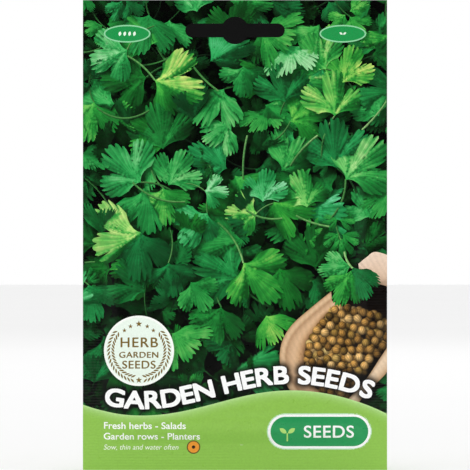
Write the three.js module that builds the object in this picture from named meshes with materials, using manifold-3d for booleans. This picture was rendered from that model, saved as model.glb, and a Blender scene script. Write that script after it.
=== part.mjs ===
// A retail seed packet: two printed laminate panels heat-sealed round their edges, with a hang slot through the
// header and loose coriander seeds lying in the bottom of the pouch.
// Millimetres. +Z is up the hanging packet, -Y is its front. The origin is the centre of the hang slot, on the
// plane where the two panels meet.
import * as THREE from "three";
import { mergeVertices } from "three/addons/utils/BufferGeometryUtils.js";
import Module from "manifold-3d";

// The packet's outline and its film.
const PACKET_WIDTH = 110;
const PACKET_HEIGHT = 170;
const FILM = 0.12; // paper, aluminium and sealing layer together
const SLOT_BELOW_TOP = 11;
const TOP = SLOT_BELOW_TOP;
const BOTTOM = TOP - PACKET_HEIGHT;

// The welded margins, which leave the pouch between them.
const SIDE_SEAL = 7;
const BOTTOM_SEAL = 9;
const HEADER = 25;
const POUCH_HALF_WIDTH = PACKET_WIDTH / 2 - SIDE_SEAL;
const POUCH_FLOOR = BOTTOM + BOTTOM_SEAL;
const POUCH_CEILING = TOP - HEADER;

// How far each panel stands off the middle plane, low down where the seeds are and high up where it is slack.
const FULL_BULGE = 2.6;
const SLACK_BULGE = 1.2;
const SEED_ZONE = 24; // height of pouch that the seeds keep full
const CROWN = 0.2; // share by which the middle of a panel stands off further than its sides
const EDGE_RUN = 7; // distance from a seal over which a panel lifts to its bulge

// The hang slot: a bar with round ends, and a round hole at its middle for a single peg.
const SLOT_LENGTH = 36;
const SLOT_HEIGHT = 5;
const SLOT_HOLE_RADIUS = 5;

// The seeds, in rows that narrow upwards as a small heap does. The counts are even and odd by turns, so that each
// row sits in the gaps of the one below.
const SEED_RADIUS = 1.9;
const SEED_RADIUS_SPREAD = 0.1;
const SEED_PITCH = 4.35;
const SEED_ROWS = [20, 19, 12, 5];
const SEED_ROW_RISE = 3.8;
const FIRST_ROW_ABOVE_FLOOR = 4.6;

const wasm = await Module();
wasm.setup();

function solidOf(geometry) {
  const bare = geometry.clone().deleteAttribute("normal").deleteAttribute("uv");
  const merged = mergeVertices(bare, 1e-4);
  return new wasm.Manifold(
    new wasm.Mesh({
      numProp: 3,
      vertProperties: merged.attributes.position.array,
      triVerts: new Uint32Array(merged.index.array),
    }),
  );
}

function geometryOf(solid) {
  const made = solid.getMesh();
  const geometry = new THREE.BufferGeometry();
  geometry.setAttribute("position", new THREE.BufferAttribute(made.vertProperties, 3));
  geometry.setIndex(new THREE.BufferAttribute(made.triVerts, 1));
  geometry.computeVertexNormals();
  return geometry;
}

// From 0 at a seal to 1 where the panel has lifted fully: steep at the weld, level at the end.
function lift(distance) {
  const share = THREE.MathUtils.clamp(distance / EDGE_RUN, 0, 1);
  return 1 - (1 - share) ** 2;
}

function bulge(x, z) {
  const fromSide = POUCH_HALF_WIDTH - Math.abs(x);
  const fromFloor = z - POUCH_FLOOR;
  const fromCeiling = POUCH_CEILING - z;
  const slackening = THREE.MathUtils.smoothstep(fromFloor, SEED_ZONE, POUCH_CEILING - POUCH_FLOOR);
  const crown = 1 + CROWN * (1 - (x / POUCH_HALF_WIDTH) ** 2);
  const height = crown * THREE.MathUtils.lerp(FULL_BULGE, SLACK_BULGE, slackening);
  return height * lift(fromSide) * lift(fromFloor) * lift(fromCeiling);
}

// Grid lines across a pouch from seal to seal: close together near each seal, where the film curves.
function gridLines(low, high, sealLow, sealHigh, middleCount) {
  const nearSeal = [0, 0.2, 0.5, 1].map((share) => share * EDGE_RUN);
  const from = sealLow + EDGE_RUN;
  const span = sealHigh - sealLow - 2 * EDGE_RUN;
  const middle = Array.from({ length: middleCount }, (_, i) => from + (span * (i + 1)) / (middleCount + 1));
  return [
    low,
    ...nearSeal.map((d) => sealLow + d),
    ...middle,
    ...nearSeal.map((d) => sealHigh - d).reverse(),
    high,
  ];
}

const columns = gridLines(-PACKET_WIDTH / 2, PACKET_WIDTH / 2, -POUCH_HALF_WIDTH, POUCH_HALF_WIDTH, 5);
const rows = gridLines(BOTTOM, TOP, POUCH_FLOOR, POUCH_CEILING, 9);

// One panel, bulging towards -Y, as a thin box whose grid is moved onto the film's two faces.
function panelGeometry() {
  const across = columns.length - 1;
  const up = rows.length - 1;
  const geometry = new THREE.BoxGeometry(across, 1, up, across, 1, up);
  const point = geometry.attributes.position;
  for (let i = 0; i < point.count; i++) {
    const x = columns[Math.round(point.getX(i) + across / 2)];
    const z = rows[Math.round(point.getZ(i) + up / 2)];
    const outer = point.getY(i) < 0;
    point.setXYZ(i, x, -bulge(x, z) - (outer ? FILM : 0), z);
  }
  return geometry;
}

function slotGeometry() {
  const half = SLOT_HEIGHT / 2;
  const endX = SLOT_LENGTH / 2 - half;
  const meet = Math.asin(half / SLOT_HOLE_RADIUS);
  const outline = new THREE.Shape();
  outline.moveTo(-endX, -half);
  outline.absarc(0, 0, SLOT_HOLE_RADIUS, Math.PI + meet, 2 * Math.PI - meet, false);
  outline.absarc(endX, 0, half, -Math.PI / 2, Math.PI / 2, false);
  outline.absarc(0, 0, SLOT_HOLE_RADIUS, meet, Math.PI - meet, false);
  outline.absarc(-endX, 0, half, Math.PI / 2, 1.5 * Math.PI, false);
  const depth = 4;
  const cutter = new THREE.ExtrudeGeometry(outline, { depth, bevelEnabled: false, curveSegments: 10 });
  return cutter.translate(0, 0, -depth / 2).rotateX(Math.PI / 2);
}

const packet = new THREE.Group();

function add(name, geometry, material) {
  const mesh = new THREE.Mesh(geometry, material);
  mesh.name = name;
  packet.add(mesh);
  return mesh;
}

const printedFilm = new THREE.MeshStandardMaterial({ color: 0x2f7d35, roughness: 0.35, metalness: 0 });
const backFilm = new THREE.MeshStandardMaterial({ color: 0xe6efd6, roughness: 0.35, metalness: 0 });
const seedHusk = new THREE.MeshStandardMaterial({ color: 0xa9804a, roughness: 0.7, metalness: 0 });

const slottedPanel = geometryOf(solidOf(panelGeometry()).subtract(solidOf(slotGeometry())));
add("front_panel", slottedPanel, printedFilm);
// The back panel is the same pressing, turned about the packet's long axis.
add("back_panel", slottedPanel, backFilm).rotation.z = Math.PI;

// A repeatable share from 0 to 1 for each seed, so that no two lie or measure quite alike.
function share(index, salt) {
  const value = Math.sin(index * 12.9898 + salt * 78.233) * 43758.5453;
  return value - Math.floor(value);
}

function addSeed(index, x, z) {
  const radius = SEED_RADIUS + SEED_RADIUS_SPREAD * (2 * share(index, 1) - 1);
  const seed = add(`seed_${String(index).padStart(2, "0")}`, new THREE.SphereGeometry(radius, 8, 6), seedHusk);
  seed.position.set(x, 0, z);
  seed.rotation.set(Math.PI * share(index, 2), Math.PI * share(index, 3), Math.PI * share(index, 4));
}

let seedCount = 0;
SEED_ROWS.forEach((count, row) => {
  const z = POUCH_FLOOR + FIRST_ROW_ABOVE_FLOOR + row * SEED_ROW_RISE;
  for (let i = 0; i < count; i++) {
    addSeed(++seedCount, (i - (count - 1) / 2) * SEED_PITCH, z);
  }
});

export default packet;
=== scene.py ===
# %% [markdown]
# # A hanging packet of herb seeds
#
# The real packet is a flat pouch of two printed panels, welded together round their edges, with a slot
# through the header for a shop's display hook and loose seeds in the bottom.
# It is made here around the measured model of its solids, so every size comes from those solids.
# The picture on the front is the hard part, and most of this lesson is about printing it.

import math
import time

import bpy
import numpy as np
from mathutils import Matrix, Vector
from mathutils.bvhtree import BVHTree
from mathutils.geometry import delaunay_2d_cdt
from mathutils.kdtree import KDTree


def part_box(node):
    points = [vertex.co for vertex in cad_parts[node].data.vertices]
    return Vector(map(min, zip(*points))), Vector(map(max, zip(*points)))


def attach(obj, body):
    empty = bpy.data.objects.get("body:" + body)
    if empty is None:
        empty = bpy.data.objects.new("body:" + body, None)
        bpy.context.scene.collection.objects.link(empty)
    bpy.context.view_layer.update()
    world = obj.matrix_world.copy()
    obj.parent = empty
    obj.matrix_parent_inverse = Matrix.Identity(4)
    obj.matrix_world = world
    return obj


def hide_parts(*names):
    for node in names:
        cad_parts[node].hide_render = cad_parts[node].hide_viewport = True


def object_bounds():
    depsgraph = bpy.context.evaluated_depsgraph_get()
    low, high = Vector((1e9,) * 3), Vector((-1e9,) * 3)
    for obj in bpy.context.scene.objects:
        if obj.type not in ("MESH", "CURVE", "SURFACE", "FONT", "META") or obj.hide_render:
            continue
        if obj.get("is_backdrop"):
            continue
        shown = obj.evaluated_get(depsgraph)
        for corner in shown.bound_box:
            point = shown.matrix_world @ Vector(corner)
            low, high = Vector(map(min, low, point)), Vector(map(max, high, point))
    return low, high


started = time.time()
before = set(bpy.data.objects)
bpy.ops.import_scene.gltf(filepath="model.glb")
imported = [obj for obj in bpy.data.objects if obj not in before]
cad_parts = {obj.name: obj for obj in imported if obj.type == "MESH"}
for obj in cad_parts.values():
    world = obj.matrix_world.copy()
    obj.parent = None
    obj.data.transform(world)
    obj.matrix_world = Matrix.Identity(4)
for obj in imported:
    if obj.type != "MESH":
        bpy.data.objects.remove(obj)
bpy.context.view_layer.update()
MM = 0.001
panel_low, panel_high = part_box("front_panel")
LEFT, RIGHT = panel_low[0] / MM, panel_high[0] / MM
BOTTOM, TOP = panel_low[2] / MM, panel_high[2] / MM
WIDTH, HEIGHT = RIGHT - LEFT, TOP - BOTTOM
print(f"packet {WIDTH:.1f} x {HEIGHT:.1f} mm, bottom edge at {BOTTOM:.1f} mm")

# %% [markdown]
# The film follows one rule: flat on the welded margins, then lifting over a few millimetres to a low pillow
# that is fullest where the seeds lie. The same rule shaped the solids, so it is repeated here, and two
# small things are added that only the eye needs: a soft lump over each seed, and puckers that run in from
# the welds.

# %% The shape of the film, in millimetres
FILM = 0.12
SIDE_SEAL, BOTTOM_SEAL, HEADER = 7.0, 9.0, 25.0
POUCH_HALF = WIDTH / 2 - SIDE_SEAL
POUCH_FLOOR = BOTTOM + BOTTOM_SEAL
POUCH_CEILING = TOP - HEADER
FULL_BULGE, SLACK_BULGE, SEED_ZONE, CROWN, EDGE_RUN = 2.6, 1.2, 24.0, 0.2, 7.0
LUMP_HIGH, LUMP_WIDE, SIDE_PUCKER, END_PUCKER = 0.28, 1.5, 0.07, 0.08
SEED_NODES = sorted(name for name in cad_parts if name.startswith("seed_"))
SEED_PLACES = np.array([(np.array(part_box(n)[0]) + np.array(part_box(n)[1])) / 2 / MM for n in SEED_NODES])


def smooth(share):
    share = np.clip(share, 0, 1)
    return share * share * (3 - 2 * share)


def lift(distance):
    """From 0 at a weld to 1 where the film has lifted fully: quick at first, and with no crease."""
    return smooth(distance / EDGE_RUN) ** 0.7


def seed_lumps(x, z):
    """How far the loose seeds push the film out above its pillow."""
    gap = (x[:, None] - SEED_PLACES[:, 0]) ** 2 + (z[:, None] - SEED_PLACES[:, 2]) ** 2
    return LUMP_HIGH * np.exp(-gap / LUMP_WIDE**2).sum(axis=1)


def film_height(x, z):
    """Distance from the middle plane to a panel's inner face."""
    x, z = np.asarray(x, float), np.asarray(z, float)
    inside = lift(POUCH_HALF - abs(x)) * lift(z - POUCH_FLOOR) * lift(POUCH_CEILING - z)
    slack = smooth((z - POUCH_FLOOR - SEED_ZONE) / (POUCH_CEILING - POUCH_FLOOR - SEED_ZONE))
    crown = 1 + CROWN * (1 - (x / POUCH_HALF) ** 2)
    pillow = crown * (FULL_BULGE + (SLACK_BULGE - FULL_BULGE) * slack)
    side_pucker = np.sin(z / 2.9 + 1.7 * np.sin(z / 13)) * np.exp(-np.clip(POUCH_HALF - abs(x), 0, None) / 5)
    end_pucker = np.sin(x / 3.3 + 1.5 * np.sin(x / 17)) * np.exp(-np.clip(POUCH_CEILING - z, 0, None) / 7)
    return inside * (pillow + seed_lumps(x, z) + SIDE_PUCKER * side_pucker + END_PUCKER * end_pucker)


print(f"pillow {2 * film_height([0], [POUCH_FLOOR + 15])[0]:.2f} mm thick over {len(SEED_NODES)} seeds")

# %% [markdown]
# A few small helpers serve the whole lesson. One turns a printer's hex colour into linear light, one adds a
# node with its settings and its links, and the others make meshes and objects.

# %% Helpers for colour, nodes and meshes


def ink(code):
    """A hex colour as linear red, green, blue and a full alpha."""
    parts = [int(code[i : i + 2], 16) / 255 for i in (0, 2, 4)]
    return (*[p / 12.92 if p <= 0.04045 else ((p + 0.055) / 1.055) ** 2.4 for p in parts], 1.0)


def add_node(tree, kind, inputs=None, **settings):
    """Add one node. An input takes a value, a socket, or a node, which stands for its first output."""
    node = tree.nodes.new(kind)
    for name, value in settings.items():
        setattr(node, name, value)
    for key, value in (inputs or {}).items():
        if isinstance(value, bpy.types.Node):
            value = value.outputs[0]
        if isinstance(value, bpy.types.NodeSocket):
            tree.links.new(value, node.inputs[key])
        else:
            node.inputs[key].default_value = value
    return node


def store(mesh, name, rows, kind="FLOAT_VECTOR", domain="POINT"):
    """Keep one reading for each point or corner of a mesh."""
    field = "color" if kind == "FLOAT_COLOR" else "vector"
    stored = mesh.attributes.new(name, kind, domain)
    stored.data.foreach_set(field, np.array(rows, np.float32).ravel())


def take(data, field, width, kind=np.float32):
    """One field of every point, face or reading as an array, a row for each."""
    values = np.empty(len(data) * width, kind)
    data.foreach_get(field, values)
    return values.reshape(-1, width)


def new_mesh(name, points, faces, smooth=False, **readings):
    """A mesh whose points carry the named readings."""
    mesh = bpy.data.meshes.new(name)
    mesh.from_pydata([tuple(p) for p in points], [], [tuple(f) for f in faces])
    for label, rows in readings.items():
        store(mesh, label, rows)
    if smooth:
        mesh.polygons.foreach_set("use_smooth", [True] * len(mesh.polygons))
    mesh.update()
    return mesh


def grid_faces(rows, wide):
    """The quads between points numbered row by row."""
    corners = [i * wide + j for i in range(rows - 1) for j in range(wide - 1)]
    return [(a, a + wide, a + wide + 1, a + 1) for a in corners]


def dome_faces(rings, sides):
    """A fan of triangles round point 0, then rings of quads one below another."""
    faces = [(0, 1 + j, 1 + (j + 1) % sides) for j in range(sides)]
    for i in range(rings - 1):
        for j in range(sides):
            a, b = 1 + i * sides + j, 1 + i * sides + (j + 1) % sides
            faces.append((a, a + sides, b + sides, b))
    return faces


def new_object(name, data):
    made = bpy.data.objects.new(name, data)
    bpy.context.scene.collection.objects.link(made)
    return made


print("dark leaf green is", [round(v, 3) for v in ink("0a1b07")])

# %% [markdown]
# ## The picture, laid out on a table
#
# A packet's picture shows real leaves and seeds with flat artwork laid over them. So the leaves and the
# seeds are built as real shapes on a flat table, x to the right, y up the packet and z towards the eye,
# in millimetres. Later the picture is taken by looking straight down, and the table is thrown away.
#
# A coriander leaflet is a fan: veins spread from the stalk, two deep cuts part it into three lobes, and the
# margin is cut again into rounded teeth. That is one rule in the bearing from the stalk, so the blade is a
# fan-shaped grid whose outer edge follows the rule.

# %% The coriander leaflet
HALF_FAN = math.radians(78)
TEETH = 23
TOOTH = 2 * HALF_FAN / TEETH
LOBE = math.radians(52)
TYPICAL_LENGTH = 13.0
TOOTH_CUT = 0.17


def margin_length(bearing, lobe_cut, lean):
    """Distance from the stalk to the margin along a bearing, for a leaflet of length 1."""
    lobe_phase = (bearing - lean) / LOBE
    from_middle = 2 * abs(lobe_phase - np.round(lobe_phase))
    notch = np.clip((from_middle - 0.6) / 0.4, 0, 1)
    lobes = 1 - 0.17 * from_middle**2 - lobe_cut * notch**1.5
    fan = 0.70 + 0.30 * np.cos(bearing * 1.1)
    phase = (bearing + HALF_FAN) / TOOTH
    number = np.floor(phase + 1e-6)
    across = abs(2 * (phase - number) - 1)
    uneven = 0.8 + 0.5 * np.sin(number * 2.4 + 7 * lean + 1) + 0.55 * np.cos(2 * np.pi * phase / 3.7)
    return fan * lobes * (1 - np.clip(TOOTH_CUT * uneven, 0.05, 1) * across**2.4)


def lobe_lifts(bearings, lean):
    """How each lobe bends up or down in its own way, joined smoothly where lobes meet."""
    phase = (bearings - lean) / LOBE
    number = np.round(phase)
    joined = number + 0.5 * (2 * (phase - number)) ** 5
    return np.sin(2.3 * joined + 11 * lean + 1)


def blade(
    length, lobe_cut=0.34, lean=0.0, droop=0.12, curl=0.15, pleat=0.05,
    fold=0.0, spread=1.0, sweep=0.0, turn=0.0, at=(0, 0),
):
    """Points, faces and blade readings (tooth count, millimetres per tooth) of one leaflet."""
    bearings = np.linspace(-HALF_FAN, HALF_FAN, TEETH * 4 + 1)
    steps = np.array([0.16, 0.36, 0.58, 0.8, 1.0])
    reach = margin_length(bearings, lobe_cut, lean)
    inner = 0.94 * np.convolve(np.pad(reach, 4, mode="edge"), np.ones(9) / 9, mode="valid")
    lifts = lobe_lifts(bearings, lean)
    lobe_wave = np.cos(2 * np.pi * (bearings - lean) / LOBE)
    tooth_wave = np.cos(2 * np.pi * (bearings + HALF_FAN) / TOOTH)
    points, readings = [(0.0, 0.0, 0.0)], [(0.0, 0.0, 1.0)]
    for step in steps:
        r = reach * step if step == 1 else np.minimum(inner, reach) * step
        flare = spread * (0.45 + 0.55 * step**0.75)
        angle = bearings * flare + sweep * step
        x, y = r * np.sin(angle), r * np.cos(angle)
        z = -droop * r**2 - curl * x**2 + pleat * r * lobe_wave - fold * abs(x)
        z += 0.17 * r**2 * lifts + 0.01 * r * tooth_wave
        z += 0.05 * r * np.sin(5 * x + 3 * y + 9 * lean) + 0.035 * r * np.sin(9 * y - 5 * x)
        points += list(zip(length * x, length * y, length * z))
        apart = flare * TOOTH * TYPICAL_LENGTH
        readings += [(b / TOOTH, k * apart, 1.0) for b, k in zip(bearings + HALF_FAN, r)]
    count = len(bearings)
    faces = [(0, 1 + i + 1, 1 + i) for i in range(count - 1)]
    for ring in range(len(steps) - 1):
        a = 1 + ring * count
        b = a + count
        for i in range(count - 1):
            faces += [(a + i, a + i + 1, b + i + 1), (a + i, b + i + 1, b + i)]
    c, s = math.cos(turn), math.sin(turn)
    points = [(c * x - s * y + at[0], s * x + c * y + at[1], z) for x, y, z in points]
    return points, faces, readings


def stalk(start, end, bend, width=0.75):
    """A thin round stalk as three strips of a tube's front half."""
    share = np.linspace(0, 1, 9)[:, None]
    start, end = np.array(start, float), np.array(end, float)
    run = end - start
    side = np.array([-run[1], run[0], 0]) / np.linalg.norm(run[:2])
    path = start + run * share + side * bend * 4 * share * (1 - share)
    points, faces = [], []
    for middle in path:
        for offset, rise in ((-0.5, 0.0), (-0.2, 0.4), (0.2, 0.4), (0.5, 0.0)):
            points.append(middle + side * offset * width + np.array([0, 0, rise * width]))
    for i in range(len(path) - 1):
        for j in range(3):
            a = i * 4 + j
            faces += [(a, a + 4, a + 5), (a, a + 5, a + 1)]
    return [tuple(p) for p in points], faces, [(0.0, 0.0, 0.0)] * len(points)


def art_mesh(name, parts):
    """Join parts into one mesh that keeps its blade readings as an attribute."""
    points, faces, readings = [], [], []
    for part_points, part_faces, part_readings in parts:
        faces += [tuple(i + len(points) for i in face) for face in part_faces]
        points += part_points
        readings += part_readings
    return new_mesh(name, points, faces, smooth=True, blade=readings)


LEAF_KINDS = {
    "open_leaf": [
        blade(1, lobe_cut=0.22, droop=0.10, curl=0.10, pleat=0.06, sweep=0.1),
        stalk((0, 0, 0), (0.2, -0.8, -0.35), 0.1, 0.038),
    ],
    "deep_cut_leaf": [
        blade(1, lobe_cut=0.36, lean=0.06, droop=0.2, curl=0.05, pleat=0.09, sweep=-0.14),
        stalk((0, 0, 0), (-0.15, -0.85, -0.4), -0.08, 0.038),
    ],
    "cupped_leaf": [blade(1, lobe_cut=0.2, droop=-0.14, curl=-0.22, lean=-0.05, sweep=0.08)],
    "folded_leaf": [blade(1, lobe_cut=0.22, droop=0.22, curl=0.0, fold=0.55, pleat=0.04, sweep=0.16)],
    "domed_leaf": [blade(1, lobe_cut=0.2, droop=0.38, curl=0.34, lean=0.04, sweep=-0.08)],
    "broad_leaflet": [blade(1, lobe_cut=0.12, spread=0.72, droop=0.16, curl=0.2, lean=0.05)],
    "trefoil": [
        blade(0.72, lobe_cut=0.26, droop=0.2, curl=0.1, spread=0.85, at=(0, 0.1)),
        blade(0.62, lobe_cut=0.22, droop=0.25, spread=0.85, turn=1.35, lean=0.05, at=(-0.08, -0.02)),
        blade(0.62, lobe_cut=0.22, droop=0.25, spread=0.85, turn=-1.35, lean=-0.05, at=(0.08, -0.02)),
        stalk((0, 0.1, 0.0), (0.1, -0.8, -0.25), 0.08, 0.038),
    ],
    "feathery_leaf": [
        blade(0.5, lobe_cut=0.55, spread=0.75, droop=0.2, at=(0, 0.45)),
        blade(0.46, lobe_cut=0.55, spread=0.7, turn=0.95, lean=0.06, at=(-0.04, 0.36)),
        blade(0.46, lobe_cut=0.55, spread=0.7, turn=-0.95, lean=-0.06, at=(0.04, 0.34)),
        blade(0.38, lobe_cut=0.5, spread=0.7, turn=1.4, lean=0.03, at=(-0.02, 0.02)),
        blade(0.38, lobe_cut=0.5, spread=0.7, turn=-1.4, lean=-0.03, at=(0.02, 0.0)),
        stalk((0, 0.5, 0.0), (0.05, -0.5, -0.2), 0.05, 0.036),
    ],
}
leaf_kinds = bpy.data.collections.new("leaf_kinds")
for kind, parts in LEAF_KINDS.items():
    leaf_kinds.objects.link(bpy.data.objects.new(kind, art_mesh(kind, parts)))

# %% [markdown]
# Leaves by the hundred are scattered with Geometry Nodes: points at least one spacing apart on a flat bed,
# a random leaf kind on each point, tipped a little and spun any way round, and lifted to a random depth.
# Three beds with different numbers give a dark bottom, a full middle and a few leaves on top.

# %% The leaf bed as a node tree


def new_tree(name, inputs):
    """An empty tree for geometry, its inputs' identifiers by name, and the sockets they come in by."""
    tree = bpy.data.node_groups.new(name, "GeometryNodeTree")
    names = {}
    for label, kind, value in inputs:
        socket = tree.interface.new_socket(name=label, in_out="INPUT", socket_type="NodeSocket" + kind)
        if value is not None:
            socket.default_value = value
        names[label] = socket.identifier
    tree.interface.new_socket(name="Geometry", in_out="OUTPUT", socket_type="NodeSocketGeometry")
    return tree, names, add_node(tree, "NodeGroupInput").outputs


def end_tree(tree, instances, **finish):
    """Make the instances real, give them their material and hand them out."""
    real = add_node(tree, "GeometryNodeRealizeInstances", {"Geometry": instances})
    painted = add_node(tree, "GeometryNodeSetMaterial", {"Geometry": real, **finish})
    add_node(tree, "NodeGroupOutput", {"Geometry": painted})


def scattered(tree, surface, given, density):
    """Points over a surface, at least one spacing apart."""
    wanted = {"Mesh": surface, "Distance Min": given["Spacing"], "Density Max": density}
    wanted["Seed"] = given["Seed"]
    return add_node(tree, "GeometryNodeDistributePointsOnFaces", wanted, distribute_method="POISSON")


def raise_and_tone(tree, instances, height, seed):
    """Lift each instance to its own height and give it a tone of its own, from 0 to 1."""
    up = add_node(tree, "ShaderNodeCombineXYZ", {"Z": height})
    raised = {"Instances": instances, "Translation": up, "Local Space": False}
    lifted = add_node(tree, "GeometryNodeTranslateInstances", raised)
    tone = add_node(tree, "FunctionNodeRandomValue", {"Seed": seed}, data_type="FLOAT").outputs[1]
    toned = {"Geometry": lifted, "Name": "tone", "Value": tone}
    return add_node(tree, "GeometryNodeStoreNamedAttribute", toned, data_type="FLOAT", domain="INSTANCE")


def scatter_tree():
    """A tree that makes one bed of leaves, with the names of its inputs."""
    inputs = (
        ("Bed width", "Float", 134.0), ("Bed height", "Float", 160.0), ("Spacing", "Float", 8.0),
        ("Lowest", "Float", 0.0), ("Highest", "Float", 10.0), ("Tilt", "Float", 0.4),
        ("Smallest", "Float", 11.0), ("Largest", "Float", 15.0), ("Seed", "Int", 1),
        ("Leaf kinds", "Collection", None),
    )
    tree, names, given = new_tree("leaf bed", inputs)
    seed, tilt = given["Seed"], given["Tilt"]
    sides = {"Size X": given["Bed width"], "Size Y": given["Bed height"]}
    bed = add_node(tree, "GeometryNodeMeshGrid", sides)
    parted = {"Collection": given["Leaf kinds"], "Separate Children": True, "Reset Children": True}
    kinds = add_node(tree, "GeometryNodeCollectionInfo", parted)
    numbers = {4: 0, 5: len(LEAF_KINDS) - 1, "Seed": seed}
    which = add_node(tree, "FunctionNodeRandomValue", numbers, data_type="INT").outputs[2]
    back = add_node(tree, "ShaderNodeMath", {0: tilt, 1: -1.0}, operation="MULTIPLY")
    low = add_node(tree, "ShaderNodeCombineXYZ", {"X": back, "Y": back, "Z": 0.0})
    high = add_node(tree, "ShaderNodeCombineXYZ", {"X": tilt, "Y": tilt, "Z": 2 * math.pi})
    turns = {0: low, 1: high, "Seed": seed}
    spin = add_node(tree, "FunctionNodeRandomValue", turns, data_type="FLOAT_VECTOR")
    sizes = {2: given["Smallest"], 3: given["Largest"], "Seed": seed}
    size = add_node(tree, "FunctionNodeRandomValue", sizes, data_type="FLOAT").outputs[1]
    placed = {"Points": scattered(tree, bed, given, 1.0), "Rotation": spin, "Scale": size}
    picked = {"Instance": kinds, "Pick Instance": True, "Instance Index": which}
    leaves = add_node(tree, "GeometryNodeInstanceOnPoints", placed | picked)
    depth_seed = add_node(tree, "FunctionNodeIntegerMath", {0: seed, 1: 50}, operation="ADD")
    depths = {2: given["Lowest"], 3: given["Highest"], "Seed": depth_seed}
    depth = add_node(tree, "FunctionNodeRandomValue", depths, data_type="FLOAT").outputs[1]
    tone_seed = add_node(tree, "FunctionNodeIntegerMath", {0: seed, 1: 90}, operation="ADD")
    end_tree(tree, raise_and_tone(tree, leaves, depth, tone_seed))
    return tree, names


def run_tree(name, made_tree, values, start=None):
    """Run a node tree on a new object and keep the result as a plain mesh."""
    tree, names = made_tree
    maker = new_object(name + "_maker", start or bpy.data.meshes.new(name))
    modifier = maker.modifiers.new("tree", "NODES")
    modifier.node_group = tree
    for key, value in values.items():
        modifier[names[key]] = value
    made = bpy.data.meshes.new_from_object(maker.evaluated_get(bpy.context.evaluated_depsgraph_get()))
    made.name = name
    bpy.data.objects.remove(maker)
    return made


leaf_bed = scatter_tree()


MIDDLE_Z = (TOP + BOTTOM) / 2
beds = []
for name, spacing, lowest, highest, tilt, smallest, largest, seed in (
    ("bottom_leaves", 9.0, 0.0, 5.0, 0.6, 11.0, 15.0, 3),
    ("middle_leaves", 8.6, 8.0, 15.0, 0.85, 10.0, 16.0, 11),
    ("upper_leaves", 10.5, 17.0, 24.0, 0.9, 11.0, 17.5, 27),
):
    values = {"Spacing": spacing, "Lowest": lowest, "Highest": highest, "Tilt": tilt}
    values |= {"Smallest": smallest, "Largest": largest, "Seed": seed, "Leaf kinds": leaf_kinds}
    beds.append(run_tree(name, leaf_bed, values))
    print(name, len(beds[-1].polygons), "faces")

# %% [markdown]
# The table is one long list of shapes. Each is kept as arrays: its points, its triangles, and what it is
# made of, because leaves, stalks, seeds, wood and flat artwork take the light in different ways.

# %% The table and how shapes are laid on it
FLAT, LEAF, STALK, SEED, WOOD = range(5)
table = []


def lay(mesh, stuff, move=(0, 0, 0), colour=(1, 1, 1), tone=None):
    """Copy a mesh's triangles and readings onto the table."""
    mesh.calc_loop_triangles()
    count, kept = len(mesh.vertices), mesh.attributes
    triangles = take(mesh.loop_triangles, "vertices", 3, np.int32)
    shape = {
        "points": take(mesh.vertices, "co", 3) + np.array(move),
        "normals": take(mesh.vertex_normals, "vector", 3),
        "triangles": triangles,
        "paint": np.tile(np.array(colour[:3], float), (count, 1)),
        "blade": np.zeros((count, 3)),
        "tone": np.full(count, 0.5 if tone is None else tone),
        "stuff": np.full(len(triangles), stuff),
    }
    for label in ("paint", "blade"):
        if label in kept:
            shape[label] = take(kept[label].data, "vector", 3)
    if tone is None and "tone" in kept:
        shape["tone"] = take(kept["tone"].data, "value", 1)[:, 0]
    if stuff == LEAF:
        bare = shape["blade"][:, 2][triangles].max(axis=1) < 0.5
        shape["stuff"][bare] = STALK
    table.append(shape)


for bed in beds:
    lay(bed, LEAF, move=(0, MIDDLE_Z + 8, 0))
print(len(table), "beds laid,", sum(len(s["triangles"]) for s in table), "triangles")
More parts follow.
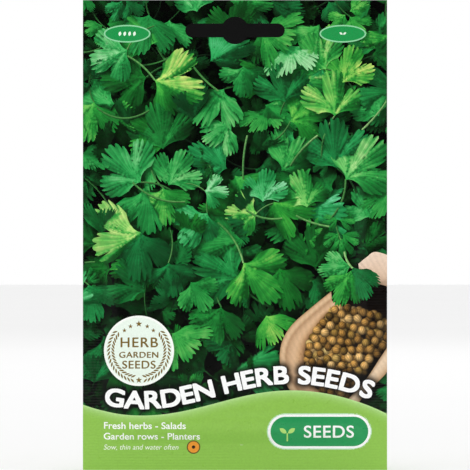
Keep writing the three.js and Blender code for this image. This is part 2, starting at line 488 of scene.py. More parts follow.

# %% [markdown]
# A few leaves are put down one by one, as a stylist would dress the table: the pale ones that catch the
# light, some deep green ones between them, and a whole trefoil over the lip of the seed scoop.
# Each line gives a leaf kind, the place of its stalk end, its heading in degrees anticlockwise from up,
# its length, how far it tips up and sideways in degrees, its tone from dark to pale, and its depth.

# %% Leaves put down one by one
DRESSED = (
    ("open_leaf", -39, -7, 118, 15, -10, 0, 0.86, 27),
    ("deep_cut_leaf", -29, -18, -112, 19, -8, 12, 0.95, 29),
    ("open_leaf", -32, -17, 100, 17, 0, 10, 0.25, 22),
    ("domed_leaf", -26, -43, 4, 18, 10, 0, 0.35, 24),
    ("open_leaf", -34, -55, 52, 18, -8, -6, 0.72, 27),
    ("cupped_leaf", -24, -56, -28, 14, -10, 0, 0.74, 25),
    ("open_leaf", -51, -26, 172, 15, 0, 8, 0.66, 23),
    ("domed_leaf", -3, -50, 62, 16, 12, 0, 0.55, 24),
    ("deep_cut_leaf", -11, -58, -100, 9, 0, 0, 0.99, 29),
    ("folded_leaf", -33, -57, 205, 17, 0, -18, 0.6, 25),
    ("open_leaf", 33, -14, 38, 15, -6, 0, 0.78, 27),
    ("domed_leaf", 32, -14, 132, 16, -8, 10, 0.7, 26),
    ("cupped_leaf", 39, -19, -18, 14, -12, 0, 0.82, 27),
    ("domed_leaf", 3, -13, 176, 13, -20, 0, 0.88, 26),
    ("deep_cut_leaf", 18, -26, 4, 15, 8, 0, 0.3, 27),
    ("folded_leaf", 11, -27, 232, 16, -15, 25, 0.9, 26),
    ("open_leaf", 20, -33, -62, 15, -10, 0, 0.68, 25),
    ("deep_cut_leaf", 36, -31, -4, 17, -5, 10, 0.8, 29),
    ("domed_leaf", 52, -31, 30, 12, 0, 0, 0.6, 25),
    ("open_leaf", 37, -50, 12, 19, 6, -8, 0.42, 25),
    ("open_leaf", 40, -54, -38, 20, -6, 0, 0.76, 28),
    ("cupped_leaf", 10, -62, -8, 12, -8, 0, 0.84, 28),
    ("domed_leaf", 26, -64, 8, 15, -12, 8, 0.78, 27),
    ("open_leaf", -26, -57, 190, 14, -12, 0, 0.8, 26),
    ("folded_leaf", -34, -73, 128, 19, -10, -20, 0.93, 29),
    ("domed_leaf", -34, -73, 172, 18, 10, 10, 0.28, 27),
    ("open_leaf", -10, -66, 150, 15, 0, 0, 0.7, 24),
    ("domed_leaf", 3, -76, 104, 20, 0, 0, 0.48, 24),
    ("deep_cut_leaf", 1, -90, 60, 18, -8, 0, 0.58, 26),
    ("open_leaf", 8, -66, 98, 12, -10, 0, 0.8, 28),
    ("folded_leaf", 14, -62, 205, 16, -10, 30, 0.82, 28),
    ("open_leaf", 29, -86, 2, 17, 8, 0, 0.24, 24),
    ("deep_cut_leaf", 3, -84, 218, 19, -8, -8, 0.95, 30),
    ("domed_leaf", 16, -86, 196, 16, 6, 0, 0.4, 27),
    ("open_leaf", -53, -92, 196, 14, -8, 0, 0.7, 26),
    ("cupped_leaf", -16, -91, 215, 12, -10, 0, 0.76, 25),
    ("open_leaf", -5, -100, 170, 15, 0, 0, 0.5, 24),
    ("deep_cut_leaf", -24, -84, 186, 13, -10, 0, 0.42, 26),
    ("broad_leaflet", 42.0, -85.0, 102, 12.5, -6, 6, 0.74, 44),
    ("broad_leaflet", 42.0, -86.8, 160, 14.0, -4, 0, 0.66, 46),
    ("broad_leaflet", 42.4, -85.4, 208, 13.5, 4, -6, 0.42, 45),
)
STALKS = (
    ((-50, -28, 30), (-31, -29, 24), -3.4),
    ((-37, -55, 30), (-18, -62, 27), -2.4),
    ((3, -54, 27), (4.5, -38, 30), 0.6),
    ((20, -49, 25), (30, -38, 30), 0.8),
    ((46, -36, 30), (57, -22, 27), -0.8),
    ((22, -67, 30), (34, -71, 30), -0.6),
    ((42.5, -86, 47), (39.5, -80, 40), 0.6),
    ((4, -65, 28), (17, -68, 28), -1.4),
    ((-6, -22, 27), (-18, -8, 24), 1.2),
)


def turned(mesh, place, heading, length, up, sideways, depth):
    """A copy of a leaf mesh at its place: tipped, turned to its heading and scaled."""
    copy = mesh.copy()
    u, s, h = math.radians(up), math.radians(sideways), math.radians(heading)
    tip = np.array(((1, 0, 0), (0, math.cos(u), -math.sin(u)), (0, math.sin(u), math.cos(u))))
    roll = np.array(((math.cos(s), 0, math.sin(s)), (0, 1, 0), (-math.sin(s), 0, math.cos(s))))
    spin = np.array(((math.cos(h), -math.sin(h), 0), (math.sin(h), math.cos(h), 0), (0, 0, 1)))
    points = take(copy.vertices, "co", 3, float)
    points = length * points @ (spin @ tip @ roll).T + np.array((*place, depth))
    copy.vertices.foreach_set("co", points.ravel())
    copy.update()
    return copy


for kind, x, y, heading, length, up, sideways, tone, depth in DRESSED:
    leaf = turned(leaf_kinds.objects[kind].data, (x, y), heading, length, up, sideways, depth)
    lay(leaf, LEAF, tone=tone)
for start, end, bend in STALKS:
    lay(art_mesh("stalk", [stalk(start, end, bend)]), LEAF, tone=0.85)
print(len(DRESSED), "leaves and", len(STALKS), "stalks by hand")

# %% [markdown]
# The wooden scoop is a bowl seen from above, with a turned rim that catches the light and a dark hollow
# under its far end. Each of its walls is a strip between two smooth curves, coloured across from one curve
# to the other, which is how an illustrator would paint it.

# %% The scoop, its walls as painted strips


def curve_through(points, count):
    """A smooth curve through a few points, as evenly numbered steps (Catmull-Rom)."""
    p = np.array(points, float)
    p = np.vstack([2 * p[0] - p[1], p, 2 * p[-1] - p[-2]])
    t = np.linspace(0, len(points) - 1 - 1e-9, count)
    k = t.astype(int)
    f = (t - k)[:, None]
    a, b, c, d = p[k], p[k + 1], p[k + 2], p[k + 3]
    return 0.5 * (2 * b + (c - a) * f + (2 * a - 5 * b + 4 * c - d) * f**2 + (3 * b - a - 3 * c + d) * f**3)


def painted_strip(name, first, second, colours, level, count=40):
    """A strip from one curve to another, with colours spaced evenly across it."""
    first, second = curve_through(first, count), curve_through(second, count)
    shares = np.linspace(0, 1, len(colours))
    points, paint = [], []
    for a, b in zip(first, second):
        for share, colour in zip(shares, colours):
            points.append((*(a + (b - a) * share), level))
            paint.append(ink(colour)[:3])
    return new_mesh(name, points, grid_faces(count, len(colours)), paint=paint)


RIM_OUTER = (
    (34.7, -94.4), (27.3, -100.4), (20.6, -106.4), (17.1, -112.2),
    (16.1, -118.5), (17.2, -125), (21, -131.5), (28, -137),
)
RIM_INNER = (
    (34.9, -96.4), (28.4, -101.6), (22.0, -107.6), (18.7, -113.0),
    (17.8, -118.6), (18.8, -124.6), (22.5, -130.4), (29, -135.4),
)
GROOVE = (
    (35.0, -97.8), (29.2, -102.6), (22.9, -108.6), (19.9, -113.6),
    (19.0, -118.7), (20.0, -124.2), (23.5, -129.6), (30, -134.4),
)
SEED_LINE = (
    (38.5, -99.5), (33.2, -102.4), (29.4, -107.8), (26.2, -112.2),
    (25.0, -118.3), (25.6, -123.5), (28.5, -128), (33, -132.5),
)
BOWL_FAR = ((57, -96), (57, -103), (57, -110), (54, -118), (50, -123), (46, -128), (42, -133), (38, -137))
FAR_LIP = ((38, -92.0), (46, -90.6), (50.5, -91.8), (56.5, -93.5))
FAR_SHADE = ((38, -104), (45, -105.5), (51.5, -108.5), (56.5, -113))
WALL_TOP = ((60, -107.5), (55.3, -114.3), (51.6, -119.8), (48.2, -125), (43.5, -130.5), (37, -137))
WALL_FOOT = ((63, -114), (55.3, -123.3), (52.2, -126.6), (49.4, -129.4), (45.5, -133.6), (40, -141))
HANDLE = ((44.6, -84.4), (47.6, -82.0), (50.8, -80.1), (57, -81.8))
HANDLE_FOOT = ((45.0, -88.0), (48.4, -90.6), (51.5, -91.6), (57, -93.0))

SCOOP = (
    ("bowl", SEED_LINE, BOWL_FAR, ("4a3018", "341f0e", "1d1007", "100803"), 31.0),
    ("hollow", FAR_LIP, FAR_SHADE, ("120702", "150802", "1c0c04", "281407"), 31.4),
    ("inner_wall", GROOVE, SEED_LINE, ("c8a17b", "d6af88", "deb78f", "d6ad82", "bd9064", "7c5836"), 32.96),
    ("groove", RIM_INNER, GROOVE, ("d8b48c", "b98f68", "c8a17b"), 32.98),
    ("rim", RIM_OUTER, RIM_INNER, ("b08a62", "d8b38a", "e0bc95", "d8b48c"), 33.0),
    ("near_wall", WALL_TOP, WALL_FOOT, ("b08d68", "ecd0b0", "e8ccac", "dcbc98", "b48f68"), 41.0),
    ("handle", HANDLE, HANDLE_FOOT, ("efd6bf", "e9cdb5", "dfc1a6", "c09f82"), 32.6),
)
for strip in SCOOP:
    lay(painted_strip(*strip), WOOD)
print(len(SCOOP), "painted strips")

# %% [markdown]
# The seeds in the scoop are round husks of nearly one size, so they are scattered like the leaves, over the
# heap's outline, in two layers. Each is a small ball with its own tone.

# %% The heap of seeds in the scoop
RIBS = 11
AXIS_TIP = math.radians(62)


def ball(rings=5, sides=18):
    """The upper half of a round husk, with a reading that counts its ribs round a tipped axis."""
    points = [(0.0, 0.0, 1.0)]
    for i in range(1, rings + 1):
        a = math.pi / 2 * i / rings
        for j in range(sides):
            b = 2 * math.pi * j / sides
            points.append((math.sin(a) * math.cos(b), math.sin(a) * math.sin(b), math.cos(a)))
    x, y, z = np.array(points).T
    along = x * math.sin(AXIS_TIP) + z * math.cos(AXIS_TIP)
    beside = z * math.sin(AXIS_TIP) - x * math.cos(AXIS_TIP)
    count = (np.arctan2(y, beside) / (2 * math.pi) + 0.5) * RIBS
    apart = 1.5 * np.sqrt(np.clip(1 - along**2, 0, 1)) * 2 * math.pi / RIBS
    readings = np.column_stack([count, apart, np.ones(len(points))])
    return new_mesh("ball", points, dome_faces(rings, sides), smooth=True, blade=readings)


def heap_tree():
    """A tree that heaps balls over an outline, with the names of its inputs."""
    inputs = (
        ("Heap", "Geometry", None), ("Spacing", "Float", 2.4), ("Level", "Float", 34.0),
        ("Ball", "Object", None), ("Seed", "Int", 1),
    )
    tree, names, given = new_tree("seed heap", inputs)
    seed = given["Seed"]
    husk = add_node(tree, "GeometryNodeObjectInfo", {"Object": given["Ball"]}).outputs["Geometry"]
    sizes = {2: 1.38, 3: 1.7, "Seed": seed}
    size = add_node(tree, "FunctionNodeRandomValue", sizes, data_type="FLOAT").outputs[1]
    turns = {0: (0, 0, 0), 1: (0, 0, 2 * math.pi), "Seed": seed}
    spin = add_node(tree, "FunctionNodeRandomValue", turns, data_type="FLOAT_VECTOR")
    placed = {"Points": scattered(tree, given["Heap"], given, 5.0), "Rotation": spin, "Scale": size}
    balls = add_node(tree, "GeometryNodeInstanceOnPoints", placed | {"Instance": husk})
    wobble_seed = add_node(tree, "FunctionNodeIntegerMath", {0: seed, 1: 5}, operation="ADD")
    wobbles = {2: 0.0, 3: 1.3, "Seed": wobble_seed}
    wobble = add_node(tree, "FunctionNodeRandomValue", wobbles, data_type="FLOAT").outputs[1]
    height = add_node(tree, "ShaderNodeMath", {0: given["Level"], 1: wobble}, operation="ADD")
    end_tree(tree, raise_and_tone(tree, balls, height, seed))
    return tree, names


HEAP_LEFT = (
    (36, -101), (34.4, -102.2), (31.6, -105.6), (28.6, -110), (26.6, -114),
    (26.0, -119), (27.0, -124), (30.5, -129), (35, -133),
)
HEAP_RIGHT = (
    (37, -100.5), (42, -100.6), (47, -101.8), (52, -103.2), (56, -106.5),
    (56, -111.5), (52.2, -116.4), (48.2, -122.0), (40.5, -132.5),
)
heap_outline = painted_strip("heap_outline", HEAP_LEFT, HEAP_RIGHT, ("000000", "000000"), 0.0)
seed_heap = heap_tree()
husk_ball = bpy.data.objects.new("husk_ball", ball())
for layer, (spacing, level, seed) in enumerate(((2.1, 32.6, 4), (2.75, 34.6, 9))):
    values = {"Spacing": spacing, "Level": level, "Ball": husk_ball, "Seed": seed}
    heap = run_tree(f"heap_{layer}", seed_heap, values, start=heap_outline)
    lay(heap, SEED)
    print("heap layer", layer, "has", len(heap.vertices) // len(husk_ball.data.vertices), "seeds")

# %% [markdown]
# ## Flat artwork
#
# Over the leaves a printer lays flat artwork: a curved band of colour across the foot, a title that
# rides on the band's upper edge, a round seal of gold on white, and small ovals.
# All wording here is plain garden wording, and all marks are simple pictograms.

# %% The band across the foot
DIP_X, DIP_Z, CREST_X, CREST_Z = -33.6, -139.2, 20.3, -130.1
LEFT_RISE, RIGHT_FALL = 3.8, 8.6


def wave(x):
    """Height of the band's upper edge."""
    x = np.asarray(x, float)
    left = DIP_Z + LEFT_RISE * ((x - DIP_X) / (LEFT - DIP_X)) ** 2
    right = CREST_Z - RIGHT_FALL * ((x - CREST_X) / (RIGHT - CREST_X)) ** 2
    share = np.clip((x - DIP_X) / (CREST_X - DIP_X), 0, 1)
    middle = DIP_Z + (CREST_Z - DIP_Z) * (1 - np.cos(np.pi * share)) / 2
    return np.where(x < DIP_X, left, np.where(x > CREST_X, right, middle))


FLAT_LEVEL = 60.0
BAND = "91c54e"


def band_mesh(edge, level, base=BAND, light="bfe89a"):
    """A sheet of colour below an edge, lightest just under it and plain a few millimetres down."""
    across = np.linspace(LEFT - 1, RIGHT + 1, 141)
    drops = (0.0, 0.35, 1.1, 2.2, 3.6)
    mixes = (1.0, 0.62, 0.34, 0.13, 0.0)
    base, light = np.array(ink(base)[:3]), np.array(ink(light)[:3])
    points = [(x, z - drop, level) for drop in drops for x, z in zip(across, edge(across))]
    points += [(x, BOTTOM - 1, level) for x in across]
    paint = [base + (light - base) * mix for mix in (*mixes, 0.0) for _ in across]
    return new_mesh("band", points, grid_faces(len(drops) + 1, len(across)), paint=paint)


lay(band_mesh(wave, FLAT_LEVEL), FLAT)
print(f"band edge runs from {wave(LEFT):.1f} to {wave(RIGHT):.1f} mm")

# %% [markdown]
# Flat shapes that surround their own centre, such as discs, ovals, stars and small leaves, are all fans of
# triangles from that centre to a ring of points. Letters come from the built-in typeface.

# %% Fans and letters


def fan(ring, centre, level):
    points = [(*centre, level)] + [(centre[0] + x, centre[1] + z, level) for x, z in ring]
    return new_mesh("fan", points, dome_faces(1, len(ring)))


def lay_flat(shape, code, move=(0, 0, 0)):
    """Lay a shape as flat artwork in one hex colour."""
    lay(shape, FLAT, move=move, colour=ink(code))


def flat_fan(ring, centre, level, code):
    lay_flat(fan(ring, centre, level), code)


def oval(half_wide, half_high, count=72):
    turns = [2 * math.pi * i / count for i in range(count)]
    return [(half_wide * math.cos(t), half_high * math.sin(t)) for t in turns]


def pill(half_wide, half_high, count=20):
    """A bar with round ends."""
    straight = half_wide - half_high
    ends = [math.pi * (i / count - 0.5) for i in range(count + 1)]
    right = [(straight + half_high * math.cos(t), half_high * math.sin(t)) for t in ends]
    return right + [(-x, -z) for x, z in right]


def star(points=5, waist=0.42):
    turns = [math.pi * i / points + math.pi / 2 for i in range(2 * points)]
    return [((1, waist)[i % 2] * math.cos(t), (1, waist)[i % 2] * math.sin(t)) for i, t in enumerate(turns)]


def almond(length, width, heading, count=7):
    """A pointed leaf from the origin along a heading, anticlockwise from the right."""
    along = np.linspace(0, 1, count)
    half = width / 2 * np.sin(np.pi * along) ** 0.8
    upper = [(length * a - length / 2, h) for a, h in zip(along, half)]
    lower = [(length * a - length / 2, -h) for a, h in zip(along[-2:0:-1], half[-2:0:-1])]
    c, s = math.cos(heading), math.sin(heading)
    return [(c * x - s * y, s * x + c * y) for x, y in lower[::-1] + upper[::-1]]


def lettering(
    text, cap_height, place, level, weight=0.0, spacing=1.0, stretch=1.0, shear=0.0, align="CENTER"
):
    """Words as a flat mesh whose capitals have the given height."""
    curve = bpy.data.curves.new("words", "FONT")
    curve.body, curve.offset, curve.space_character = text, weight, spacing
    curve.align_x, curve.shear, curve.size = align, shear, 1.0
    words = new_object("words", curve)
    mesh = bpy.data.meshes.new_from_object(words.evaluated_get(bpy.context.evaluated_depsgraph_get()))
    bpy.data.objects.remove(words)
    scale = cap_height / 0.69
    for vertex in mesh.vertices:
        x, y, _ = vertex.co
        vertex.co = (place[0] + x * scale * stretch, place[1] + y * scale, level)
    return mesh


print("capital H is", round(lettering("H", 6.1, (0, 0), 0).vertices[0].co.x, 2), "mm to its first corner")

# %% [markdown]
# The title's letters stand on the band's edge, so each one is made by itself, set a fixed gap from the one
# before, and turned to the slope of the edge below it.

# %% The title on the wave
TITLE = "GARDEN HERB SEEDS"
TITLE_LEFT, TITLE_RIGHT = -47.2, 48.8
CAP_HEIGHT, TITLE_GAP, LETTER_GAP, WORD_GAP = 6.1, 2.6, 0.75, 3.6


def title_letters():
    letters = TITLE.replace(" ", "")
    shapes = [lettering(letter, CAP_HEIGHT, (0, 0), 0, align="LEFT") for letter in letters]
    spans = [(min(v.co.x for v in m.vertices), max(v.co.x for v in m.vertices)) for m in shapes]
    gaps = LETTER_GAP * (len(shapes) - 1) + (WORD_GAP - LETTER_GAP) * TITLE.count(" ")
    stretch = (TITLE_RIGHT - TITLE_LEFT - gaps) / sum(high - low for low, high in spans)
    cursor, index = TITLE_LEFT, 0
    for letter in TITLE:
        if letter == " ":
            cursor += WORD_GAP - LETTER_GAP
            continue
        mesh, (low, high) = shapes[index], spans[index]
        half = (high - low) * stretch / 2
        middle = cursor + half
        slope = math.atan2(float(wave(middle + 2) - wave(middle - 2)), 4)
        foot = float(wave(middle)) + TITLE_GAP
        for vertex in mesh.vertices:
            x, y = (vertex.co.x - low) * stretch - half, vertex.co.y
            vertex.co = (
                middle + x * math.cos(slope) - y * math.sin(slope),
                foot + x * math.sin(slope) + y * math.cos(slope),
                FLAT_LEVEL + 2,
            )
        cursor += 2 * half + LETTER_GAP
        index += 1
    return shapes, stretch


title_shapes, title_stretch = title_letters()
BOLD_STEPS = (0.0, -0.27, 0.27)
BOLD_RING = [(x, z) for x in BOLD_STEPS for z in BOLD_STEPS]
for shape in title_shapes:
    for step, (x, z) in enumerate(BOLD_RING):
        lay_flat(shape, "ffffff", (x, z, 0.08 * step))
print(f"letters widened by {title_stretch:.2f} to fill the line")

# %% [markdown]
# A wreath's leaves, a row of stars, a table's cells: each is one shape set out many times. One node tree
# does them all. It takes a cloud of points that carry a turn and a size, and puts the item on each.

# %% A node tree that sets one item out on many points


def setting_out_tree():
    """A tree that puts one item on every point, with the names of its inputs."""
    inputs = (("Places", "Geometry", None), ("Item", "Object", None), ("Finish", "Material", None))
    tree, names, given = new_tree("set out", inputs)
    item = add_node(tree, "GeometryNodeObjectInfo", {"Object": given["Item"]}).outputs["Geometry"]
    turn = add_node(tree, "GeometryNodeInputNamedAttribute", {"Name": "turn"}, data_type="FLOAT_VECTOR")
    size = add_node(tree, "GeometryNodeInputNamedAttribute", {"Name": "size"}, data_type="FLOAT_VECTOR")
    placed = {"Points": given["Places"], "Instance": item, "Rotation": turn, "Scale": size}
    end_tree(tree, add_node(tree, "GeometryNodeInstanceOnPoints", placed), Material=given["Finish"])
    return tree, names


setting_out = setting_out_tree()


def set_out(name, item, places, turns=None, sizes=None, finish=None):
    """One mesh of the item repeated at every place, each to its own turn and size."""
    turns = [(0, 0, 0)] * len(places) if turns is None else turns
    sizes = [1] * len(places) if sizes is None else sizes
    cloud = new_mesh(name, places, [], turn=turns, size=[(s, s, s) for s in sizes])
    holder = bpy.data.objects.new(name + "_item", item)
    made = run_tree(name, setting_out, {"Item": holder, "Finish": finish}, start=cloud)
    bpy.data.objects.remove(holder)
    return made


print("set-out tree has", len(setting_out[0].nodes), "nodes")

# %% [markdown]
# The seal is a white disc with a wreath of gold leaves in pairs, five stars over three words, and a star
# where the two arms of the wreath meet.

# %% The gold and white seal
SEAL_X, SEAL_Z, SEAL_RADIUS = -34.7, -115.8, 12.7
SEAL_PAPER, GOLD = "edfaee", "7d6420"
WREATH_PAIRS, WREATH_RADIUS, WREATH_OPENING = 17, 10.2, math.radians(49)
flat_fan(oval(SEAL_RADIUS, SEAL_RADIUS), (SEAL_X, SEAL_Z), FLAT_LEVEL, "fbfff9")
flat_fan(oval(11.9, 11.9), (SEAL_X, SEAL_Z), FLAT_LEVEL + 0.5, SEAL_PAPER)


def wreath_places():
    """The places and turns of the wreath's leaves, in pairs along its two arms."""
    places, turns = [], []
    for side in (-1, 1):
        for i in range(WREATH_PAIRS):
            share = (i + 0.4) / WREATH_PAIRS
            bearing = math.pi / 2 + side * (WREATH_OPENING + (math.pi - 0.14 - WREATH_OPENING) * share)
            growing = bearing - side * math.pi / 2
            for arm, reach in ((0.62, 0.78), (-0.62, -0.78)):
                radius = WREATH_RADIUS + reach
                x, z = SEAL_X + radius * math.cos(bearing), SEAL_Z + radius * math.sin(bearing)
                places.append((x, z, FLAT_LEVEL + 1))
                turns.append((0, 0, growing - side * arm))
    return places, turns


places, turns = wreath_places()
lay_flat(set_out("wreath", fan(almond(2.0, 0.62, 0), (0, 0), 0), places, turns), GOLD)

# Each star's bearing clockwise from the top in degrees, its distance from the centre and its size.
STARS = (
    (-35.5, 9.0, 0.86),
    (-19.0, 9.3, 0.9),
    (0.0, 9.7, 1.25),
    (19.0, 9.3, 0.9),
    (35.5, 9.0, 0.86),
    (180.0, 10.6, 1.2),
)
star_places = [
    (SEAL_X + r * math.sin(math.radians(b)), SEAL_Z + r * math.cos(math.radians(b)), FLAT_LEVEL + 1.2)
    for b, r, _ in STARS
]
lay_flat(set_out("stars", fan(star(), (0, 0), 0), star_places, sizes=[s for _, _, s in STARS]), GOLD)
SEAL_LINES = (
    ("HERB", 3.5, -1.3, 1.05, 1.14),
    ("GARDEN", 2.1, 2.5, 1.12, 1.08),
    ("SEEDS", 2.8, 6.4, 1.05, 1.1),
)
for words, cap, drop, stretch, spacing in SEAL_LINES:
    line = lettering(words, cap, (SEAL_X, SEAL_Z - drop), FLAT_LEVEL + 1, spacing=spacing, stretch=stretch)
    for step, (x, z) in enumerate(((-0.09, -0.05), (0.09, 0.05))):
        lay_flat(line, GOLD, (x, z, 0.08 * step))
print(len(places), "wreath leaves and", len(STARS), "stars")

# %% [markdown]
# Two small ovals sit in the top corners, each a ring, a green field and a white pictogram. A larger pill
# with a sprout and one word fills the foot of the packet, beside three lines of sowing words and a spot
# that shops use as a colour code.

# %% Ovals, pill, small words and the colour spot
SHADE_GREEN, RING_GREEN = "0f9a49", "8fd6a2"


def sprout(centre, height, level):
    """A seedling: two seed leaves, then the short stem they stand on."""
    x, z = centre
    leaf = height * 0.62
    lean = 0.62
    shift = leaf / 2 * math.cos(lean) + 0.05 * height
    rise = leaf / 2 * math.sin(lean)
    stem = [(-up, along) for along, up in pill(height * 0.3, height * 0.05)]
    return [
        fan(almond(leaf, leaf * 0.52, math.pi - lean), (x - shift, z + rise), level),
        fan(almond(leaf, leaf * 0.52, lean), (x + shift, z + rise), level),
        fan(stem, (x, z - height * 0.3), level),
    ]


OVAL_X, OVAL_Z = 39.0, -1.2
for x in (-OVAL_X, OVAL_X):
    flat_fan(oval(8.45, 3.2), (x, OVAL_Z), FLAT_LEVEL, RING_GREEN)
    flat_fan(oval(7.9, 2.7), (x, OVAL_Z), FLAT_LEVEL + 0.5, SHADE_GREEN)
for i in range(4):
    flat_fan(almond(1.7, 1.0, 1.35), (-OVAL_X + (i - 1.5) * 1.75, OVAL_Z), FLAT_LEVEL + 1, "eafbe9")
for shape in sprout((OVAL_X, -1.5), 2.2, FLAT_LEVEL + 1)[:2]:
    lay_flat(shape, "eafbe9")

PILL_X, PILL_Z = 30.5, -145.0
PILL_RINGS = ((19.0, 6.6, "c5e8c6", 0.0), (18.6, 6.2, "ffffff", 0.3), (17.7, 5.4, "1c9956", 0.6))
for half_wide, half_high, colour, step in PILL_RINGS:
    flat_fan(pill(half_wide, half_high), (PILL_X, PILL_Z), FLAT_LEVEL + step, colour)
for shape in sprout((PILL_X - 11.6, PILL_Z - 0.6), 5.0, FLAT_LEVEL + 1):
    lay_flat(shape, "b9e27a")
word_place = (PILL_X + 3.4, PILL_Z - 2.15)
pill_word = lettering("SEEDS", 4.3, word_place, FLAT_LEVEL + 1, weight=0.012, spacing=1.06, stretch=1.06)
lay_flat(pill_word, "ffffff")

WORDS_LEFT = -47.6
for words, z, cap, weight, shear, colour, right in (
    ("Fresh herbs - Salads", -144.0, 2.35, 0.012, 0.0, "ffffff", -18.0),
    ("Garden rows - Planters", -147.9, 2.35, 0.012, 0.0, "ffffff", -12.8),
    ("Sow, thin and water often", -151.6, 1.85, 0.0, 0.22, "f4fbea", -20.6),
):
    line = lettering(words, cap, (0, 0), FLAT_LEVEL + 1, weight=weight, shear=shear, align="LEFT")
    wide = max(v.co.x for v in line.vertices) - min(v.co.x for v in line.vertices)
    for vertex in line.vertices:
        vertex.co.x = WORDS_LEFT + vertex.co.x * (right - WORDS_LEFT) / wide
        vertex.co.y += z
    lay_flat(line, colour)
for radius, colour, step in ((2.45, "5b4a14", 0.0), (2.05, "f39a2b", 0.4), (0.62, "120b02", 0.8)):
    flat_fan(oval(radius, radius, 40), (-15.0, -150.7), FLAT_LEVEL + 1 + step, colour)
print(len(table), "shapes on the table")

# %% [markdown]
# ## Taking the picture
#
# The panel's face is cut into triangles whose edges follow every outline that shows in the picture, so a
# leaf's tooth or a letter's corner is as sharp on the mesh as it is on paper. Outlines that lie under
# another shape are left out. Between the outlines a fine grid of points carries the shading.

# %% Join the table and find the outlines that show
SKY = 100.0
UP, DOWN = Vector((0, 0, 1)), Vector((0, 0, -1))


def join_table(shapes):
    """One set of arrays for every shape, and a tree to look it up in."""
    moved, offset = [], 0
    for shape in shapes:
        moved.append({**shape, "triangles": shape["triangles"] + offset})
        offset += len(shape["points"])
    joined = {label: np.concatenate([shape[label] for shape in moved]) for label in moved[0]}
    over = BVHTree.FromPolygons(joined["points"].tolist(), joined["triangles"].tolist(), all_triangles=True)
    return joined, over


def border_edges(triangles):
    """Directed edges that belong to one triangle only."""
    sides = np.concatenate([triangles[:, [0, 1]], triangles[:, [1, 2]], triangles[:, [2, 0]]])
    ordered = np.sort(sides, axis=1)
    _, first, counts = np.unique(ordered, axis=0, return_index=True, return_counts=True)
    return sides[first[counts == 1]]


def outlines_that_show(art, over):
    """The rim edges that nothing covers, as points on the table and pairs of their numbers."""

    def showing(point):
        return over.ray_cast(Vector((*point[:2], point[2] + 0.06)), UP)[0] is None

    edges = np.sort(border_edges(art["triangles"]), axis=1)
    ends = art["points"][edges]
    x, y = ends[:, :, 0], ends[:, :, 1]
    inside = ((x > LEFT) & (x < RIGHT) & (y > BOTTOM) & (y < TOP)).all(axis=1)
    edges, ends = edges[inside], ends[inside]
    shown = [any(showing(a + (b - a) * step) for step in (0.02, 0.5, 0.98)) for a, b in ends]
    used, lines = np.unique(edges[np.array(shown)], return_inverse=True)
    return split_long_edges(art["points"][used][:, :2].tolist(), lines.reshape(-1, 2).tolist())


def split_long_edges(points, edges, longest=1.0):
    """The same outlines in steps short enough to follow the film's curve."""
    pieces = []
    for a, b in edges:
        (ax, az), (bx, bz) = points[a], points[b]
        count = math.ceil(math.hypot(bx - ax, bz - az) / longest)
        chain = [a, *range(len(points), len(points) + count - 1), b]
        points += [(ax + (bx - ax) * i / count, az + (bz - az) * i / count) for i in range(1, count)]
        pieces += zip(chain, chain[1:])
    return points, pieces


art, art_tree = join_table(table)
outline_points, outline_lines = outlines_that_show(art, art_tree)
print(len(art["triangles"]), "triangles on the table,", len(outline_lines), "outline edges show")

# %% [markdown]
# The panel's own outline is a rectangle, and its hang slot is a bar with round ends crossed by a round hole.

# %% Outlines of the panel and its hang slot
SLOT_LENGTH, SLOT_HEIGHT, SLOT_HOLE = 36.0, 5.0, 5.0


def slot_outline(grow=0.0):
    half, hole = SLOT_HEIGHT / 2 + grow, SLOT_HOLE + grow
    end = SLOT_LENGTH / 2 + grow - half
    meet = math.asin(half / hole)
    arcs = (
        (0, hole, math.pi + meet, 2 * math.pi - meet, 14),
        (end, half, -math.pi / 2, math.pi / 2, 16),
        (0, hole, meet, math.pi - meet, 14),
        (-end, half, math.pi / 2, 1.5 * math.pi, 16),
    )
    return [
        (middle + radius * math.cos(a), radius * math.sin(a))
        for middle, radius, first, last, count in arcs
        for a in np.linspace(first, last, count)
    ]


def panel_outline(step=1.6):
    across, up = int(WIDTH / step), int(HEIGHT / step)
    xs, zs = np.linspace(LEFT, RIGHT, across + 1), np.linspace(BOTTOM, TOP, up + 1)
    foot = [(x, BOTTOM) for x in xs[:-1]] + [(RIGHT, z) for z in zs[:-1]]
    return foot + [(x, TOP) for x in xs[:0:-1]] + [(LEFT, z) for z in zs[:0:-1]]


def in_slot(points, grow=0.0):
    x, z = abs(points[:, 0]), abs(points[:, 1])
    half, end = SLOT_HEIGHT / 2 + grow, SLOT_LENGTH / 2 - SLOT_HEIGHT / 2
    bar = (z < half) & (np.hypot(np.clip(x - end, 0, None), z) < half)
    return bar | (np.hypot(x, z) < SLOT_HOLE + grow)


def loop_edges(count, start):
    return [(start + i, start + (i + 1) % count) for i in range(count)]


print(len(slot_outline()), "points round the slot,", len(panel_outline()), "round the panel")

# %% [markdown]
# Now the cutting. A constrained triangulation takes the outlines and the grid and returns triangles that
# keep every outline. Triangles in the slot are dropped.

# %% Cut the panel's face along the outlines


def jittered_grid(step, keep, seed, margin=0.4):
    """Rows of points in a brick pattern, each nudged a little so that no line of triangles shows."""
    random = np.random.default_rng(seed)
    rows = np.arange(BOTTOM + margin, TOP - margin, step * 0.866)
    spots = []
    for i, z in enumerate(rows):
        xs = np.arange(LEFT + margin + (i % 2) * step / 2, RIGHT - margin, step)
        spots.append(np.column_stack([xs, np.full(len(xs), z)]))
    spots = np.concatenate(spots)
    spots += random.uniform(-0.18, 0.18, spots.shape) * step
    spots = spots[keep(spots)]
    return spots[~in_slot(spots, 0.3)]


def turning(places, triangles):
    """Twice each triangle's area, positive where its corners run anticlockwise."""
    a, b, c = (places[triangles[:, i]] for i in range(3))
    return (b[:, 0] - a[:, 0]) * (c[:, 1] - a[:, 1]) - (b[:, 1] - a[:, 1]) * (c[:, 0] - a[:, 0])


